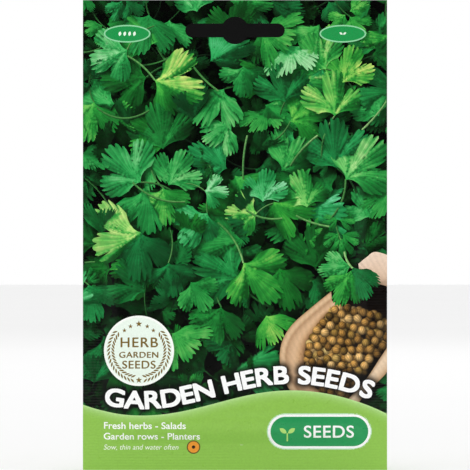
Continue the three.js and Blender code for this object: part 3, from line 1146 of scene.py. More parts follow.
def cut_sheet(points, lines, merge, thinnest, way):
    """Points, triangles that all turn one way and keep every line, and the points that were merged."""
    result = delaunay_2d_cdt([Vector(p) for p in points], lines, [], 0, merge)
    places, triangles = np.array([tuple(v) for v in result[0]]), np.array(result[2])
    triangles = triangles[~in_slot(places[triangles].mean(axis=1))]
    turn = turning(places, triangles) * way
    triangles[turn < 0] = triangles[turn < 0][:, ::-1]
    return places, triangles[abs(turn) > thinnest], result[3]


def cut_face(outline_points, outline_edges, spots):
    """Points and triangles of the panel's rectangle less its slot."""
    border, slot = panel_outline(), slot_outline()
    start = len(border) + len(slot)
    points = [*border, *slot, *map(tuple, outline_points), *map(tuple, spots)]
    lines = loop_edges(len(border), 0) + loop_edges(len(slot), len(border))
    lines += [(a + start, b + start) for a, b in outline_edges]
    return cut_sheet(points, lines, 0.004, 1e-7, 1)[:2]


FINE_STEP, PLAIN_STEP = ((0.74, 1.1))
fine = jittered_grid(FINE_STEP, lambda p: p[:, 1] > wave(p[:, 0]) - 0.2, 5)
plain = jittered_grid(PLAIN_STEP, lambda p: p[:, 1] <= wave(p[:, 0]) - 0.2, 6)
face_points, face_triangles = cut_face(outline_points, outline_lines, np.vstack([fine, plain]))
print(len(face_points), "points,", len(face_triangles), "triangles", round(time.time() - started, 1), "s")

# %% [markdown]
# Each corner of each triangle now looks straight down at the table, from a hair inside its triangle, and
# reads what it sees. So two leaves that meet along an outline keep their own colours up to that line.

# %% Look down from every corner


def shares_at(spots, corners):
    """How much each corner of a triangle counts at a spot inside it."""
    a, b, c = (corners[:, i, :2] for i in range(3))
    x, z = spots[:, 0] - c[:, 0], spots[:, 1] - c[:, 1]
    d = (b[:, 1] - c[:, 1]) * (a[:, 0] - c[:, 0]) + (c[:, 0] - b[:, 0]) * (a[:, 1] - c[:, 1])
    d = np.where(abs(d) < 1e-12, 1e-12, d)
    first = ((b[:, 1] - c[:, 1]) * x + (c[:, 0] - b[:, 0]) * z) / d
    second = ((c[:, 1] - a[:, 1]) * x + (a[:, 0] - c[:, 0]) * z) / d
    return np.clip(np.column_stack([first, second, 1 - first - second]), 0, 1)


def look_down(places, triangles, art, over):
    """What every corner of every triangle sees on the table below it."""
    corners = places[triangles]
    spots = (corners * 0.86 + corners.mean(axis=1, keepdims=True) * 0.14).reshape(-1, 2)
    found = [over.ray_cast(Vector((x, y, SKY)), DOWN)[2] for x, y in spots.tolist()]
    void = np.array([hit is None for hit in found])
    hits = np.array([0 if hit is None else hit for hit in found])
    under = art["triangles"][hits]
    shares = shares_at(spots, art["points"][under])
    seen = {"spots": spots, "void": void, "stuff": art["stuff"][hits]}
    seen["area"] = np.repeat(turning(places, triangles) / 2, 3)
    for label in ("points", "normals", "blade", "paint", "tone"):
        values = art[label][under]
        weights = shares if values.ndim == 2 else shares[:, :, None]
        seen[label] = (values * weights).sum(axis=1)
    return seen


seen = look_down(face_points, face_triangles, art, art_tree)
spots = seen["spots"]
print("corners looked down", len(spots), round(time.time() - started, 1), "s")

# %% [markdown]
# The light on the table comes from the upper left, in front. A corner is in shade where another leaf
# stands between it and the light, and it is dimmer the further it lies below its neighbours.

# %% Shade and depth on the table
solid = art["stuff"] != FLAT
solid_triangles = art["triangles"][solid].tolist()
scene_tree = BVHTree.FromPolygons(art["points"].tolist(), solid_triangles, all_triangles=True)
LIGHTS = [Vector(v).normalized() for v in ((-0.45, 0.55, 0.85), (-0.2, 0.35, 1.0), (-0.6, 0.3, 0.9))]


def lit_share(places, lights):
    """Share of the light that reaches each place past its neighbours."""
    lit = np.zeros(len(places))
    for light in lights:
        for i, (x, y, z) in enumerate(places.tolist()):
            start = Vector((x, y, z + 0.12)) + light * 0.25
            lit[i] += scene_tree.ray_cast(start, light)[0] is None
    return lit / len(lights)


def height_map(step=1.25):
    """Heights of the leaves on a coarse grid, blurred, to tell hollows from tops."""
    xs, ys = np.arange(LEFT - 4, RIGHT + 4, step), np.arange(BOTTOM - 4, TOP + 4, step)
    gx, gy = np.meshgrid(xs, ys, indexing="ij")
    heights = np.zeros(gx.size)
    for i, (x, y) in enumerate(zip(gx.ravel().tolist(), gy.ravel().tolist())):
        found = scene_tree.ray_cast(Vector((x, y, SKY)), DOWN)[0]
        heights[i] = found.z if found is not None else 0.0
    heights = heights.reshape(gx.shape)
    reach = np.arange(-5, 6)
    kernel = np.exp(-((reach * step / 3.2) ** 2))
    kernel /= kernel.sum()
    for axis in (0, 1):
        heights = np.apply_along_axis(
            lambda row: np.convolve(np.pad(row, 5, mode="edge"), kernel, mode="valid"), axis, heights
        )
    return xs[0], ys[0], step, heights


def read_map(spots, made):
    x0, y0, step, heights = made
    u = np.clip((spots[:, 0] - x0) / step, 0, heights.shape[0] - 1.001)
    v = np.clip((spots[:, 1] - y0) / step, 0, heights.shape[1] - 1.001)
    i, j = u.astype(int), v.astype(int)
    u, v = u - i, v - j
    low = heights[i, j] * (1 - u) + heights[i + 1, j] * u
    high = heights[i, j + 1] * (1 - u) + heights[i + 1, j + 1] * u
    return low * (1 - v) + high * v


pictured = (seen["stuff"] != FLAT) & ~seen["void"]
lit = np.ones(len(spots))
lit[pictured] = lit_share(seen["points"][pictured], LIGHTS)
hollow = np.clip(read_map(spots, height_map()) - seen["points"][:, 2], 0, None)
print("shade found", round(time.time() - started, 1), "s")

# %% [markdown]
# Leaf colours come last. Each corner gets a lightness from the light, the shade and its leaf's own tone.
# A press prints a picture through a tone curve, so the lightnesses are ranked over the whole bed and each
# rank takes its ink from a scale that runs from the near black of the gaps to the pale of a lit leaf.

# %% Ink for every corner
LEAF_SCALE = (
    (0.00, "000200"), (0.03, "000600"), (0.09, "001a00"), (0.17, "002e07"), (0.31, "004a16"),
    (0.52, "046724"), (0.72, "118333"), (0.88, "32a146"), (0.97, "67b862"), (1.00, "a4d38a"),
)
STALK_SCALE = ((0, "041006"), (0.4, "1f6426"), (0.75, "5fa352"), (1, "a9d488"))
HUSK_SCALE = ((0, "7a5622"), (0.3, "a0732f"), (0.55, "bd8c42"), (0.8, "d0a056"), (1, "e0b878"))


def scale_ink(share, scale):
    stops = [s for s, _ in scale]
    inks = np.array([ink(c)[:3] for _, c in scale]) ** (1 / 2.2)
    return np.column_stack([np.interp(share, stops, inks[:, i]) for i in range(3)]) ** 2.2


def facing(normals, direction):
    """How squarely each surface faces a direction, from 0 to 1, whichever side is up."""
    flipped = np.where(normals[:, 2:] < 0, -normals, normals)
    flipped = flipped / np.linalg.norm(flipped, axis=1, keepdims=True).clip(1e-6)
    return np.clip(flipped @ np.array(direction), 0, 1)


def rank(values, weights):
    """Where each value stands in the whole, from 0 to 1 by area."""
    order = np.argsort(values, kind="stable")
    run = np.cumsum(weights[order])
    ranks = np.empty(len(values))
    ranks[order] = run / run[-1]
    return ranks


def patches(x, y, size):
    """Soft irregular patches of about one size, from -1 to 1."""
    across = np.sin(x / size + 2.1 * np.sin(y / (1.7 * size) + 1))
    return across * np.sin(y / (0.9 * size) + 2.3 * np.sin(x / (1.9 * size)))


key_light = facing(seen["normals"], LIGHTS[0])
sheen = facing(seen["normals"], (Vector((-0.2, 0.3, 0.95)).normalized())) ** 30
near = np.clip(seen["points"][:, 2] / 30, 0, 1)
shelter = np.exp(-hollow / 6.0)
lightness = (0.2 + 0.8 * key_light**1.6 * (0.2 + 0.8 * lit)) * shelter * (0.14 + 0.86 * near)
lightness = lightness * (0.3 + 1.4 * seen["tone"]) + 0.10 * sheen * lit * shelter
blotch = 0.13 * patches(spots[:, 0], spots[:, 1], 1.9) + 0.05 * patches(spots[:, 1], spots[:, 0], 0.8)
lightness = lightness * (1 + blotch) * (1 - 0.25 * smooth((-68 - spots[:, 1]) / 25))

inks = seen["paint"].copy()
leaf = (seen["stuff"] == LEAF) & pictured
warm = np.modf(seen["tone"] * 7.31)[0] - 0.5
green = scale_ink(rank(lightness[leaf], seen["area"][leaf]), LEAF_SCALE)
green *= 1 + np.column_stack([1.0 * warm[leaf], 0.1 * warm[leaf], -0.85 * warm[leaf]])
inks[leaf] = green
stalks = (seen["stuff"] == STALK) & pictured
stalk_light = (0.12 + 0.88 * key_light * (0.3 + 0.7 * lit)) * (0.12 + 0.88 * near**1.8)
inks[stalks] = scale_ink(np.clip(stalk_light[stalks], 0, 1), STALK_SCALE)
print(f"{leaf.mean():.0%} of corners are leaf, mean shade {lit[leaf].mean():.2f}")

# %% [markdown]
# A husk is bright where it faces the light and falls quickly to a brown shade at its sides, so each seed
# reads as round. The scoop's wood keeps its painted colours, with a faint grain and the seeds' shadows.

# %% Ink for the seeds and the wood
seeds = (seen["stuff"] == SEED) & pictured
upward = facing(seen["normals"], (0, 0, 1))
ripeness = np.clip(seen["tone"] + 0.12 * patches(spots[:, 0], spots[:, 1], 0.35), 0, 1)
husk_light = 0.04 + 0.40 * upward**2 + 0.95 * key_light**3
husk_light = husk_light * (0.4 + 0.6 * lit) * (0.55 + 0.45 * shelter)
husk_light = husk_light * (1 - 0.6 * smooth((spots[:, 0] - 46) / 9))
husk_inks = scale_ink(ripeness, HUSK_SCALE) * husk_light[:, None]
olive = (np.modf(seen["tone"] * 5.17)[0] < 0.22)[:, None]
husk_inks = np.where(olive, husk_inks * np.array((0.70, 0.78, 0.70)), husk_inks)
inks[seeds] = husk_inks[seeds]
wood = (seen["stuff"] == WOOD) & pictured
x, y = seen["points"][:, 0], seen["points"][:, 1]
grain = 1 + 0.05 * np.sin(3.1 * x + 4 * np.sin(0.21 * y) + 1.3 * y)
inks[wood] *= (grain * (0.5 + 0.5 * lit))[wood][:, None]
inks[seen["void"]] = ink("020301")[:3]
print(f"{seeds.mean():.1%} of corners are seed and {wood.mean():.1%} are wood")

# %% [markdown]
# White letters on a busy picture are hard to read, so printers darken the picture softly round them.

# %% The dark glow round the title


def walk_edges(shapes, step=0.35):
    """Points close together along the outlines of flat shapes."""
    trail = []
    for shape in shapes:
        shape.calc_loop_triangles()
        triangles = np.array([t.vertices[:] for t in shape.loop_triangles])
        for a, b in np.sort(border_edges(triangles), axis=1):
            a, b = (np.array(shape.vertices[i].co[:2]) for i in (a, b))
            count = max(1, int(np.linalg.norm(b - a) / step))
            trail += [tuple(a + (b - a) * i / count) for i in range(count)]
    return trail


def nearest_gap(spots, trail, limit):
    """Distance to the nearest trail point, up to a limit."""
    tree = KDTree(len(trail))
    for i, (x, y) in enumerate(trail):
        tree.insert((x, y, 0), i)
    tree.balance()
    low, high = np.min(trail, axis=0) - limit, np.max(trail, axis=0) + limit
    close = ((spots >= low) & (spots <= high)).all(axis=1)
    gaps = np.full(len(spots), float(limit))
    gaps[close] = [min(limit, tree.find((x, y, 0))[2]) for x, y in spots[close].tolist()]
    return gaps


title_gap = nearest_gap(spots, walk_edges(title_shapes), 5.0)
picture = seen["stuff"] != FLAT
inks[picture] *= (1 - 0.97 * np.exp(-((title_gap[picture] / 2.0) ** 2.6)))[:, None]
foot_gap = np.clip(spots[:, 1] - wave(spots[:, 0]), 0, None)
inks[picture] *= (1 - 0.35 * np.exp(-foot_gap[picture] / 2.5))[:, None]
seal_gap = np.hypot(spots[:, 0] - SEAL_X, spots[:, 1] - SEAL_Z) - SEAL_RADIUS
inks[picture] *= (1 - 0.45 * np.exp(-((np.clip(seal_gap[picture], 0, None) / 0.9) ** 2)))[:, None]
veins = seen["blade"] * (leaf | seeds)[:, None]
veins[:, 2] = np.where(leaf, np.clip(lightness * 2.0, 0, 0.9), seeds * 1.8)
print("title glow reaches", round(float((title_gap < 2).mean()), 3), "of the corners")

# %% [markdown]
# ## The panel
#
# The cut face is laid on the film's form, and the panel is closed with a plain inner face and a thin wall
# round its edge and its slot, so that it is one solid sheet 0.12 mm thick. The face's shine comes from the
# form itself, so its normals are worked out from the form and not from the cut triangles.

# %% Close the panel and give it normals


def film_normals(x, z, side):
    step = 0.05
    run = (film_height(x + step, z) - film_height(x - step, z)) / (2 * step)
    rise = (film_height(x, z + step) - film_height(x, z - step)) / (2 * step)
    normals = np.column_stack([-run, np.full(len(x), float(side)), -rise])
    return normals / np.linalg.norm(normals, axis=1, keepdims=True)


def inner_face(places, rim, border):
    """A plain face inside the same border, and the number of each rim point's twin on it."""
    number = {int(v): i for i, v in enumerate(rim)}
    lines = [(number[int(a)], number[int(b)]) for a, b in border]
    spots = jittered_grid(1.25, lambda p: ~in_slot(p, 0.8), 9, margin=0.9)
    inner, triangles, merged = cut_sheet(np.vstack([places[rim], spots]), lines, 0.0001, 1e-9, -1)
    twin = {int(rim[old]): new for new, olds in enumerate(merged) for old in olds if old < len(rim)}
    return inner, triangles, twin


def close_panel(name, places, triangles, corner_inks, corner_veins, side):
    """A closed sheet: the cut face outside, a plain face inside and a wall between. Side is -1 or 1 in y."""
    border = border_edges(triangles)
    inner_places, inner_triangles, twin = inner_face(places, np.unique(border), border)
    start = len(places)
    walls = []
    for a, b in border.tolist():
        walls += [(b, a, twin[a] + start), (b, twin[a] + start, twin[b] + start)]
    outer = np.column_stack([places[:, 0], side * (film_height(*places.T) + FILM), places[:, 1]])
    inner = np.column_stack([inner_places[:, 0], side * film_height(*inner_places.T), inner_places[:, 1]])
    faces = np.concatenate([triangles, inner_triangles + start, np.array(walls)])
    order = np.arange(len(triangles) * 3).reshape(-1, 3)
    if side > 0:
        faces, order = faces[:, ::-1], order[:, ::-1]
    points = np.vstack([outer, inner])
    mesh = bpy.data.meshes.new(name)
    mesh.from_pydata((points * MM).tolist(), [], faces.tolist())
    print_loops, sheet_loops = len(triangles) * 3, (len(triangles) + len(inner_triangles)) * 3
    corner_ink = np.ones((len(faces) * 3, 4))
    corner_ink[:print_loops, :3] = np.clip(corner_inks, 0, 1)[order.ravel()]
    store(mesh, "ink", corner_ink, "FLOAT_COLOR", "CORNER")
    if corner_veins is not None:
        readings = np.zeros((len(faces) * 3, 3))
        readings[:print_loops] = corner_veins[order.ravel()]
        store(mesh, "blade", readings, domain="CORNER")
    number = np.arange(len(faces))
    mesh.polygons.foreach_set("material_index", (number >= len(triangles)).astype(np.int32))
    mesh.polygons.foreach_set("use_smooth", number < sheet_loops // 3)
    mesh.update()
    form = film_normals(points[:, 0], points[:, 2], side)[faces.ravel()]
    form[print_loops:] *= -1
    form[sheet_loops:] = 0
    mesh.normals_split_custom_set(form.tolist())
    return new_object(name, mesh)


front = close_panel("front_print_panel", face_points, face_triangles, inks, veins, -1)
print(front.name, len(front.data.polygons), "triangles", round(time.time() - started, 1), "s")

# %% [markdown]
# ## The back of the packet
#
# The back carries what a grower needs, so it is flat artwork on a pale ground: a green header, four
# pictograms, a sowing calendar, a few lines of advice and an empty label box.
# It is laid on a fresh table as it is read from behind, and turned over when the panel is made.

# %% Fields of colour on the back
table = []
BACK_PAPER, DEEP_GREEN, LEAF_GREEN, SUN_ORANGE = "f1f6e2", "1f7a3d", "6fb04a", "f0a03a"
WORD_GREEN, PALE_GREEN, SEED_CREAM = "3c5a30", "a9d47c", "f0d9a6"
SIDES = (LEFT - 1, RIGHT + 1)


def rectangle(half_wide, half_high):
    corners = ((-1, -1), (1, -1), (1, 1), (-1, 1))
    return [(x * half_wide, z * half_high) for x, z in corners]


def rounded_box(half_wide, half_high, corner, count=6):
    """A rectangle with round corners."""
    ring = []
    for quarter, (x, z) in enumerate(((1, 1), (-1, 1), (-1, -1), (1, -1))):
        for a in np.linspace(0, math.pi / 2, count):
            turn = a + quarter * math.pi / 2
            middle = (x * (half_wide - corner), z * (half_high - corner))
            ring.append((middle[0] + corner * math.cos(turn), middle[1] + corner * math.sin(turn)))
    return ring


def header_edge(x):
    return -16.5 + 2.6 * math.sin((x + 14) / 26)


def back_words(text, cap_height, place, code, level=5.0, **more):
    lay_flat(lettering(text, cap_height, place, level, **more), code)


def across_back(drop):
    """A line from side to side, a drop below the header's edge."""
    return [(x, header_edge(x) - drop) for x in np.linspace(*SIDES, 12)]


ground_top, ground_foot = [(x, TOP + 1) for x in SIDES], [(x, BOTTOM - 1) for x in SIDES]
header_top = [(x, TOP + 1) for x in np.linspace(*SIDES, 12)]
lay(painted_strip("ground", ground_top, ground_foot, (BACK_PAPER, "e6efcf"), 0.0), FLAT)
lay(painted_strip("header", header_top, across_back(0), ("2b8c48", DEEP_GREEN), 1.0), FLAT)
lay(painted_strip("header_line", across_back(0), across_back(1.1), (PALE_GREEN, PALE_GREEN), 0.8), FLAT)
lay(band_mesh(lambda x: wave(-x) - 1.5, 1.0), FLAT)
back_words("HERB SEEDS", 6.2, (0, -28.6), DEEP_GREEN, weight=0.02, spacing=1.05)
back_words("Sow little and often for fresh leaves", 2.3, (0, -34.2), WORD_GREEN)
print(len(table), "shapes on the back so far")

# %% [markdown]
# Each pictogram is a disc with a simple sign: the sun for a bright place, a drop for water, a seed below
# the ground line for depth, and two seedlings with a bar between them for the gap.

# %% Pictograms
SIGN_ROW, SIGN_RADIUS, SIGN_LEVEL = -45.0, 6.2, 2.4
SIGN_PLACES = (-36.0, -12.0, 12.0, 36.0)
for x, words in zip(SIGN_PLACES, ("BRIGHT PLACE", "KEEP DAMP", "1 CM DEEP", "20 CM APART")):
    flat_fan(oval(SIGN_RADIUS + 0.5, SIGN_RADIUS + 0.5), (x, SIGN_ROW), 1.0, DEEP_GREEN)
    flat_fan(oval(SIGN_RADIUS, SIGN_RADIUS), (x, SIGN_ROW), 1.4, "ffffff")
    back_words(words, 1.8, (x, SIGN_ROW - 10.2), WORD_GREEN, spacing=1.05)

sun_x, drop_x, depth_x, gap_x = SIGN_PLACES
flat_fan(oval(2.2, 2.2), (sun_x, SIGN_ROW), 2.0, SUN_ORANGE)
ray_turns = [math.pi / 4 * i for i in range(8)]
ray_places = [(sun_x + 3.9 * math.cos(t), SIGN_ROW + 3.9 * math.sin(t), 2.0) for t in ray_turns]
one_ray = fan(pill(0.95, 0.28, 6), (0, 0), 0)
lay_flat(set_out("rays", one_ray, ray_places, [(0, 0, t) for t in ray_turns]), SUN_ORANGE)
drop_turns = np.linspace(0, 2 * math.pi, 40, endpoint=False)
drop = [(-2.5 * math.sin(t) * math.sin(t / 2) ** 1.5, 3.7 * math.cos(t)) for t in drop_turns]
flat_fan(drop, (drop_x, SIGN_ROW + 0.3), 2.0, "3f9fd0")
soil = [(6.1 * math.cos(t), 6.1 * math.sin(t)) for t in np.linspace(math.pi * 1.03, math.pi * 1.97, 24)]
for x in (depth_x, gap_x):
    flat_fan(soil, (x, SIGN_ROW), 2.0, "8a6238")
flat_fan(oval(0.95, 0.95), (depth_x, SIGN_ROW - 3.3), SIGN_LEVEL, SEED_CREAM)
for shape in sprout((depth_x, SIGN_ROW + 1.2), 4.2, SIGN_LEVEL):
    lay_flat(shape, LEAF_GREEN)
for side in (-1, 1):
    for shape in sprout((gap_x + side * 2.9, SIGN_ROW + 1.5), 3.6, SIGN_LEVEL):
        lay_flat(shape, LEAF_GREEN)
    flat_fan(rectangle(0.2, 0.8), (gap_x + side * 2.9, SIGN_ROW - 2.6), SIGN_LEVEL, SEED_CREAM)
flat_fan(rectangle(2.9, 0.2), (gap_x, SIGN_ROW - 2.6), SIGN_LEVEL, SEED_CREAM)
print(len(SIGN_PLACES), "pictograms")

# %% [markdown]
# The calendar is a table of twelve months. Its cells are one rectangle set out many times, coloured by row:
# the month letters, the months to sow and the months to cut.

# %% The sowing calendar
MONTHS = "JFMAMJJASOND"
CELL_WIDE, CELL_HIGH, CALENDAR_LEFT, CALENDAR_TOP = 6.1, 5.2, -32.0, -62.0
TEXT_LEFT = -41.0
SOW_MONTHS, CUT_MONTHS = range(2, 9), range(4, 11)
cell = fan(rectangle(CELL_WIDE / 2 - 0.15, CELL_HIGH / 2 - 0.15), (0, 0), 0)


def cells(row, months, code, level):
    """One row of the calendar's cells, for the months given."""
    z = CALENDAR_TOP - (row + 0.5) * CELL_HIGH
    places = [(CALENDAR_LEFT + (m + 0.5) * CELL_WIDE, z, level) for m in months]
    lay_flat(set_out("cells", cell, places), code)


calendar_middle = (CALENDAR_LEFT + 6 * CELL_WIDE, CALENDAR_TOP - 1.5 * CELL_HIGH)
flat_fan(rectangle(6 * CELL_WIDE + 0.2, 1.5 * CELL_HIGH + 0.2), calendar_middle, 1.0, DEEP_GREEN)
cells(0, range(12), "cfe5b4", 1.4)
for row, months, colour in ((1, SOW_MONTHS, LEAF_GREEN), (2, CUT_MONTHS, SUN_ORANGE)):
    cells(row, range(12), "ffffff", 1.4)
    cells(row, months, colour, 1.8)
for month, letter in enumerate(MONTHS):
    place = (CALENDAR_LEFT + (month + 0.5) * CELL_WIDE, CALENDAR_TOP - CELL_HIGH / 2 - 1.15)
    back_words(letter, 2.5, place, DEEP_GREEN)
for row, words in ((1, "Sow"), (2, "Cut")):
    place = (TEXT_LEFT, CALENDAR_TOP - (row + 0.5) * CELL_HIGH - 1.1)
    back_words(words, 2.6, place, DEEP_GREEN, align="LEFT")
print(len(MONTHS), "months,", len(SOW_MONTHS), "to sow and", len(CUT_MONTHS), "to cut")

# %% [markdown]
# Below the calendar come plain words of advice, a sprig drawn with the same leaflets as the front, and a
# label box that a shop would fill with its own price.

# %% Advice, a sprig and the empty label box
ADVICE = (
    "Sow thinly in shallow rows from spring to the end of",
    "summer. Cover with fine soil and keep it just damp.",
    "Thin the young plants to a hand's width apart.",
    "Cut the outer leaves as soon as they are large enough,",
    "and leave a few plants to flower and set seed.",
    "Keep the packet closed, in a cool and dry place.",
)
for i, words in enumerate(ADVICE):
    back_words(words, 2.05, (TEXT_LEFT, -86.6 - 4.1 * i), WORD_GREEN, align="LEFT")
flat_fan(rounded_box(18.5, 9.6, 1.6), (22.5, -122.4), 1.0, DEEP_GREEN)
flat_fan(rounded_box(18.1, 9.2, 1.3), (22.5, -122.4), 1.4, "ffffff")
for x, z, heading, length, colour in (
    (-30.5, -127.6, 66, 12.0, "3a9447"),
    (-28.5, -127.6, -62, 12.0, "4ba350"),
    (-29.5, -125.0, 3, 14.0, "63b457"),
):
    leaflet = turned(leaf_kinds.objects["broad_leaflet"].data, (x, z), heading, length, 0, 0, 2.0)
    flat_points = [(*v.co[:2], 2.0 + 0.1 * length) for v in leaflet.vertices]
    lay_flat(new_mesh("leaflet", flat_points, [tuple(p.vertices) for p in leaflet.polygons]), colour)
    for spread in (-38, 0, 38):
        along = math.radians(heading + 90 + spread)
        middle = (x + 0.42 * length * math.cos(along), z + 0.42 * length * math.sin(along))
        flat_fan(almond(length * 0.8, 0.5, along), middle, 2.2 + 0.1 * length, PALE_GREEN)
back_words("Sow - Grow - Cut", 2.6, (0, -150.6), "ffffff", weight=0.012, spacing=1.05)
print(len(table), "shapes on the back")

# %% [markdown]
# The back is cut along its outlines just as the front was, then turned over: left and right change places,
# and so does the order of each triangle's corners.

# %% Cut and close the back panel
back_art, back_tree = join_table(table)
back_outline, back_lines = outlines_that_show(back_art, back_tree)
back_grid = jittered_grid(1.3, lambda p: p[:, 0] > LEFT, 8)
back_points, back_triangles = cut_face(back_outline, back_lines, back_grid)
back_seen = look_down(back_points, back_triangles, back_art, back_tree)
back_inks = back_seen["paint"].reshape(-1, 3, 3)[:, ::-1].reshape(-1, 3)
back_points = back_points * np.array((-1.0, 1.0))
back = close_panel("back_print_panel", back_points, back_triangles[:, ::-1], back_inks, None, 1)
print(back.name, len(back.data.polygons), "triangles", round(time.time() - started, 1), "s")

# %% [markdown]
# ## The loose seeds
#
# A coriander husk is a globe about 4 mm across with ten low ribs that run from tip to tip. It is built once
# and set out at every place the measured model gives, each to its own size and turned its own way.

# %% The seeds in the pouch
HUSK_RIBS = 10


def husk(rows=9):
    """A ribbed globe of radius 1, a little pointed at its tips."""
    around = 2 * HUSK_RIBS
    points = [(0.0, 0.0, 1.08)]
    for i in range(1, rows):
        a = math.pi * i / rows
        for j in range(around):
            b = 2 * math.pi * j / around
            r = 1 + 0.04 * math.cos(HUSK_RIBS * b) * math.sin(a)
            points.append((r * math.sin(a) * math.cos(b), r * math.sin(a) * math.sin(b), math.cos(a)))
    points.append((0.0, 0.0, -1.05))
    last = len(points) - 1
    faces = dome_faces(rows - 1, around)
    foot = last - around
    faces += [(last, foot + (j + 1) % around, foot + j) for j in range(around)]
    return new_mesh("husk", points, faces, smooth=True)


def new_finish(name):
    """An empty material, its tree, and where each point lies on its piece."""
    material = bpy.data.materials.new(name)
    material.use_nodes = True
    tree = material.node_tree
    tree.nodes.clear()
    return material, tree, add_node(tree, "ShaderNodeTexCoord").outputs["Object"]


def end_finish(tree, surface):
    shader = add_node(tree, "ShaderNodeBsdfPrincipled", surface)
    add_node(tree, "ShaderNodeOutputMaterial", {"Surface": shader})


def dry_husk(name):
    """Dry seed husk: tan, browner in patches a few tenths of a millimetre wide, and quite matt."""
    material, tree, place = new_finish(name)
    cloud = add_node(tree, "ShaderNodeTexNoise", {"Vector": place, "Scale": 1 / (1.4 * MM), "Detail": 3.0})
    fine = add_node(tree, "ShaderNodeTexNoise", {"Vector": place, "Scale": 1 / (0.3 * MM), "Detail": 2.0})
    tan = add_node(tree, "ShaderNodeMapRange", {"Value": cloud, "From Min": 0.35, "From Max": 0.65})
    browns = {"Factor": tan, 6: ink("86622f"), 7: ink("c19a5f")}
    tone = add_node(tree, "ShaderNodeMix", browns, data_type="RGBA").outputs[2]
    bump = add_node(tree, "ShaderNodeBump", {"Height": fine, "Distance": 0.03 * MM})
    dull = add_node(tree, "ShaderNodeMapRange", {"Value": fine, "To Min": 0.62, "To Max": 0.8})
    end_finish(tree, {"Base Color": tone, "Roughness": dull, "IOR": 1.45, "Normal": bump})
    return material


seed_sizes = [max(np.array(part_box(n)[1]) - np.array(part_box(n)[0])) / 2 for n in SEED_NODES]
seed_random = np.random.default_rng(12)
seed_turns = seed_random.uniform(0, math.pi, (len(SEED_NODES), 3))
husk_finish = dry_husk("dry_ribbed_seed_husk")
seed_scales = [0.95 * size for size in seed_sizes]
seed_mesh = set_out("pouch_seeds", husk(), SEED_PLACES * MM, seed_turns, seed_scales, husk_finish)
pouch_seeds = new_object("pouch_seeds", seed_mesh)
husk_points = np.array([v.co[:] for v in seed_mesh.vertices]) / MM
room = film_height(husk_points[:, 0], husk_points[:, 2]) - abs(husk_points[:, 1])
print(len(seed_mesh.polygons), f"faces of husk, {room.min():.2f} mm from the film at the closest")
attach(pouch_seeds, "root")
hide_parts(*SEED_NODES)

# %% [markdown]
# ## Finishes
#
# The face is gravure-printed paper under a clear gloss varnish, bonded to film. The ink is opaque and the
# varnish gives a soft, even shine, a little uneven where the paper's fibres lift it. Real screen dots are
# 0.15 mm apart, too fine to show, so they are drawn as a slight mottle. The welded margins are pressed with
# fine ribs 1 mm apart by the sealing jaws.

# %% Varnished print, with leaf veins drawn from the blade readings


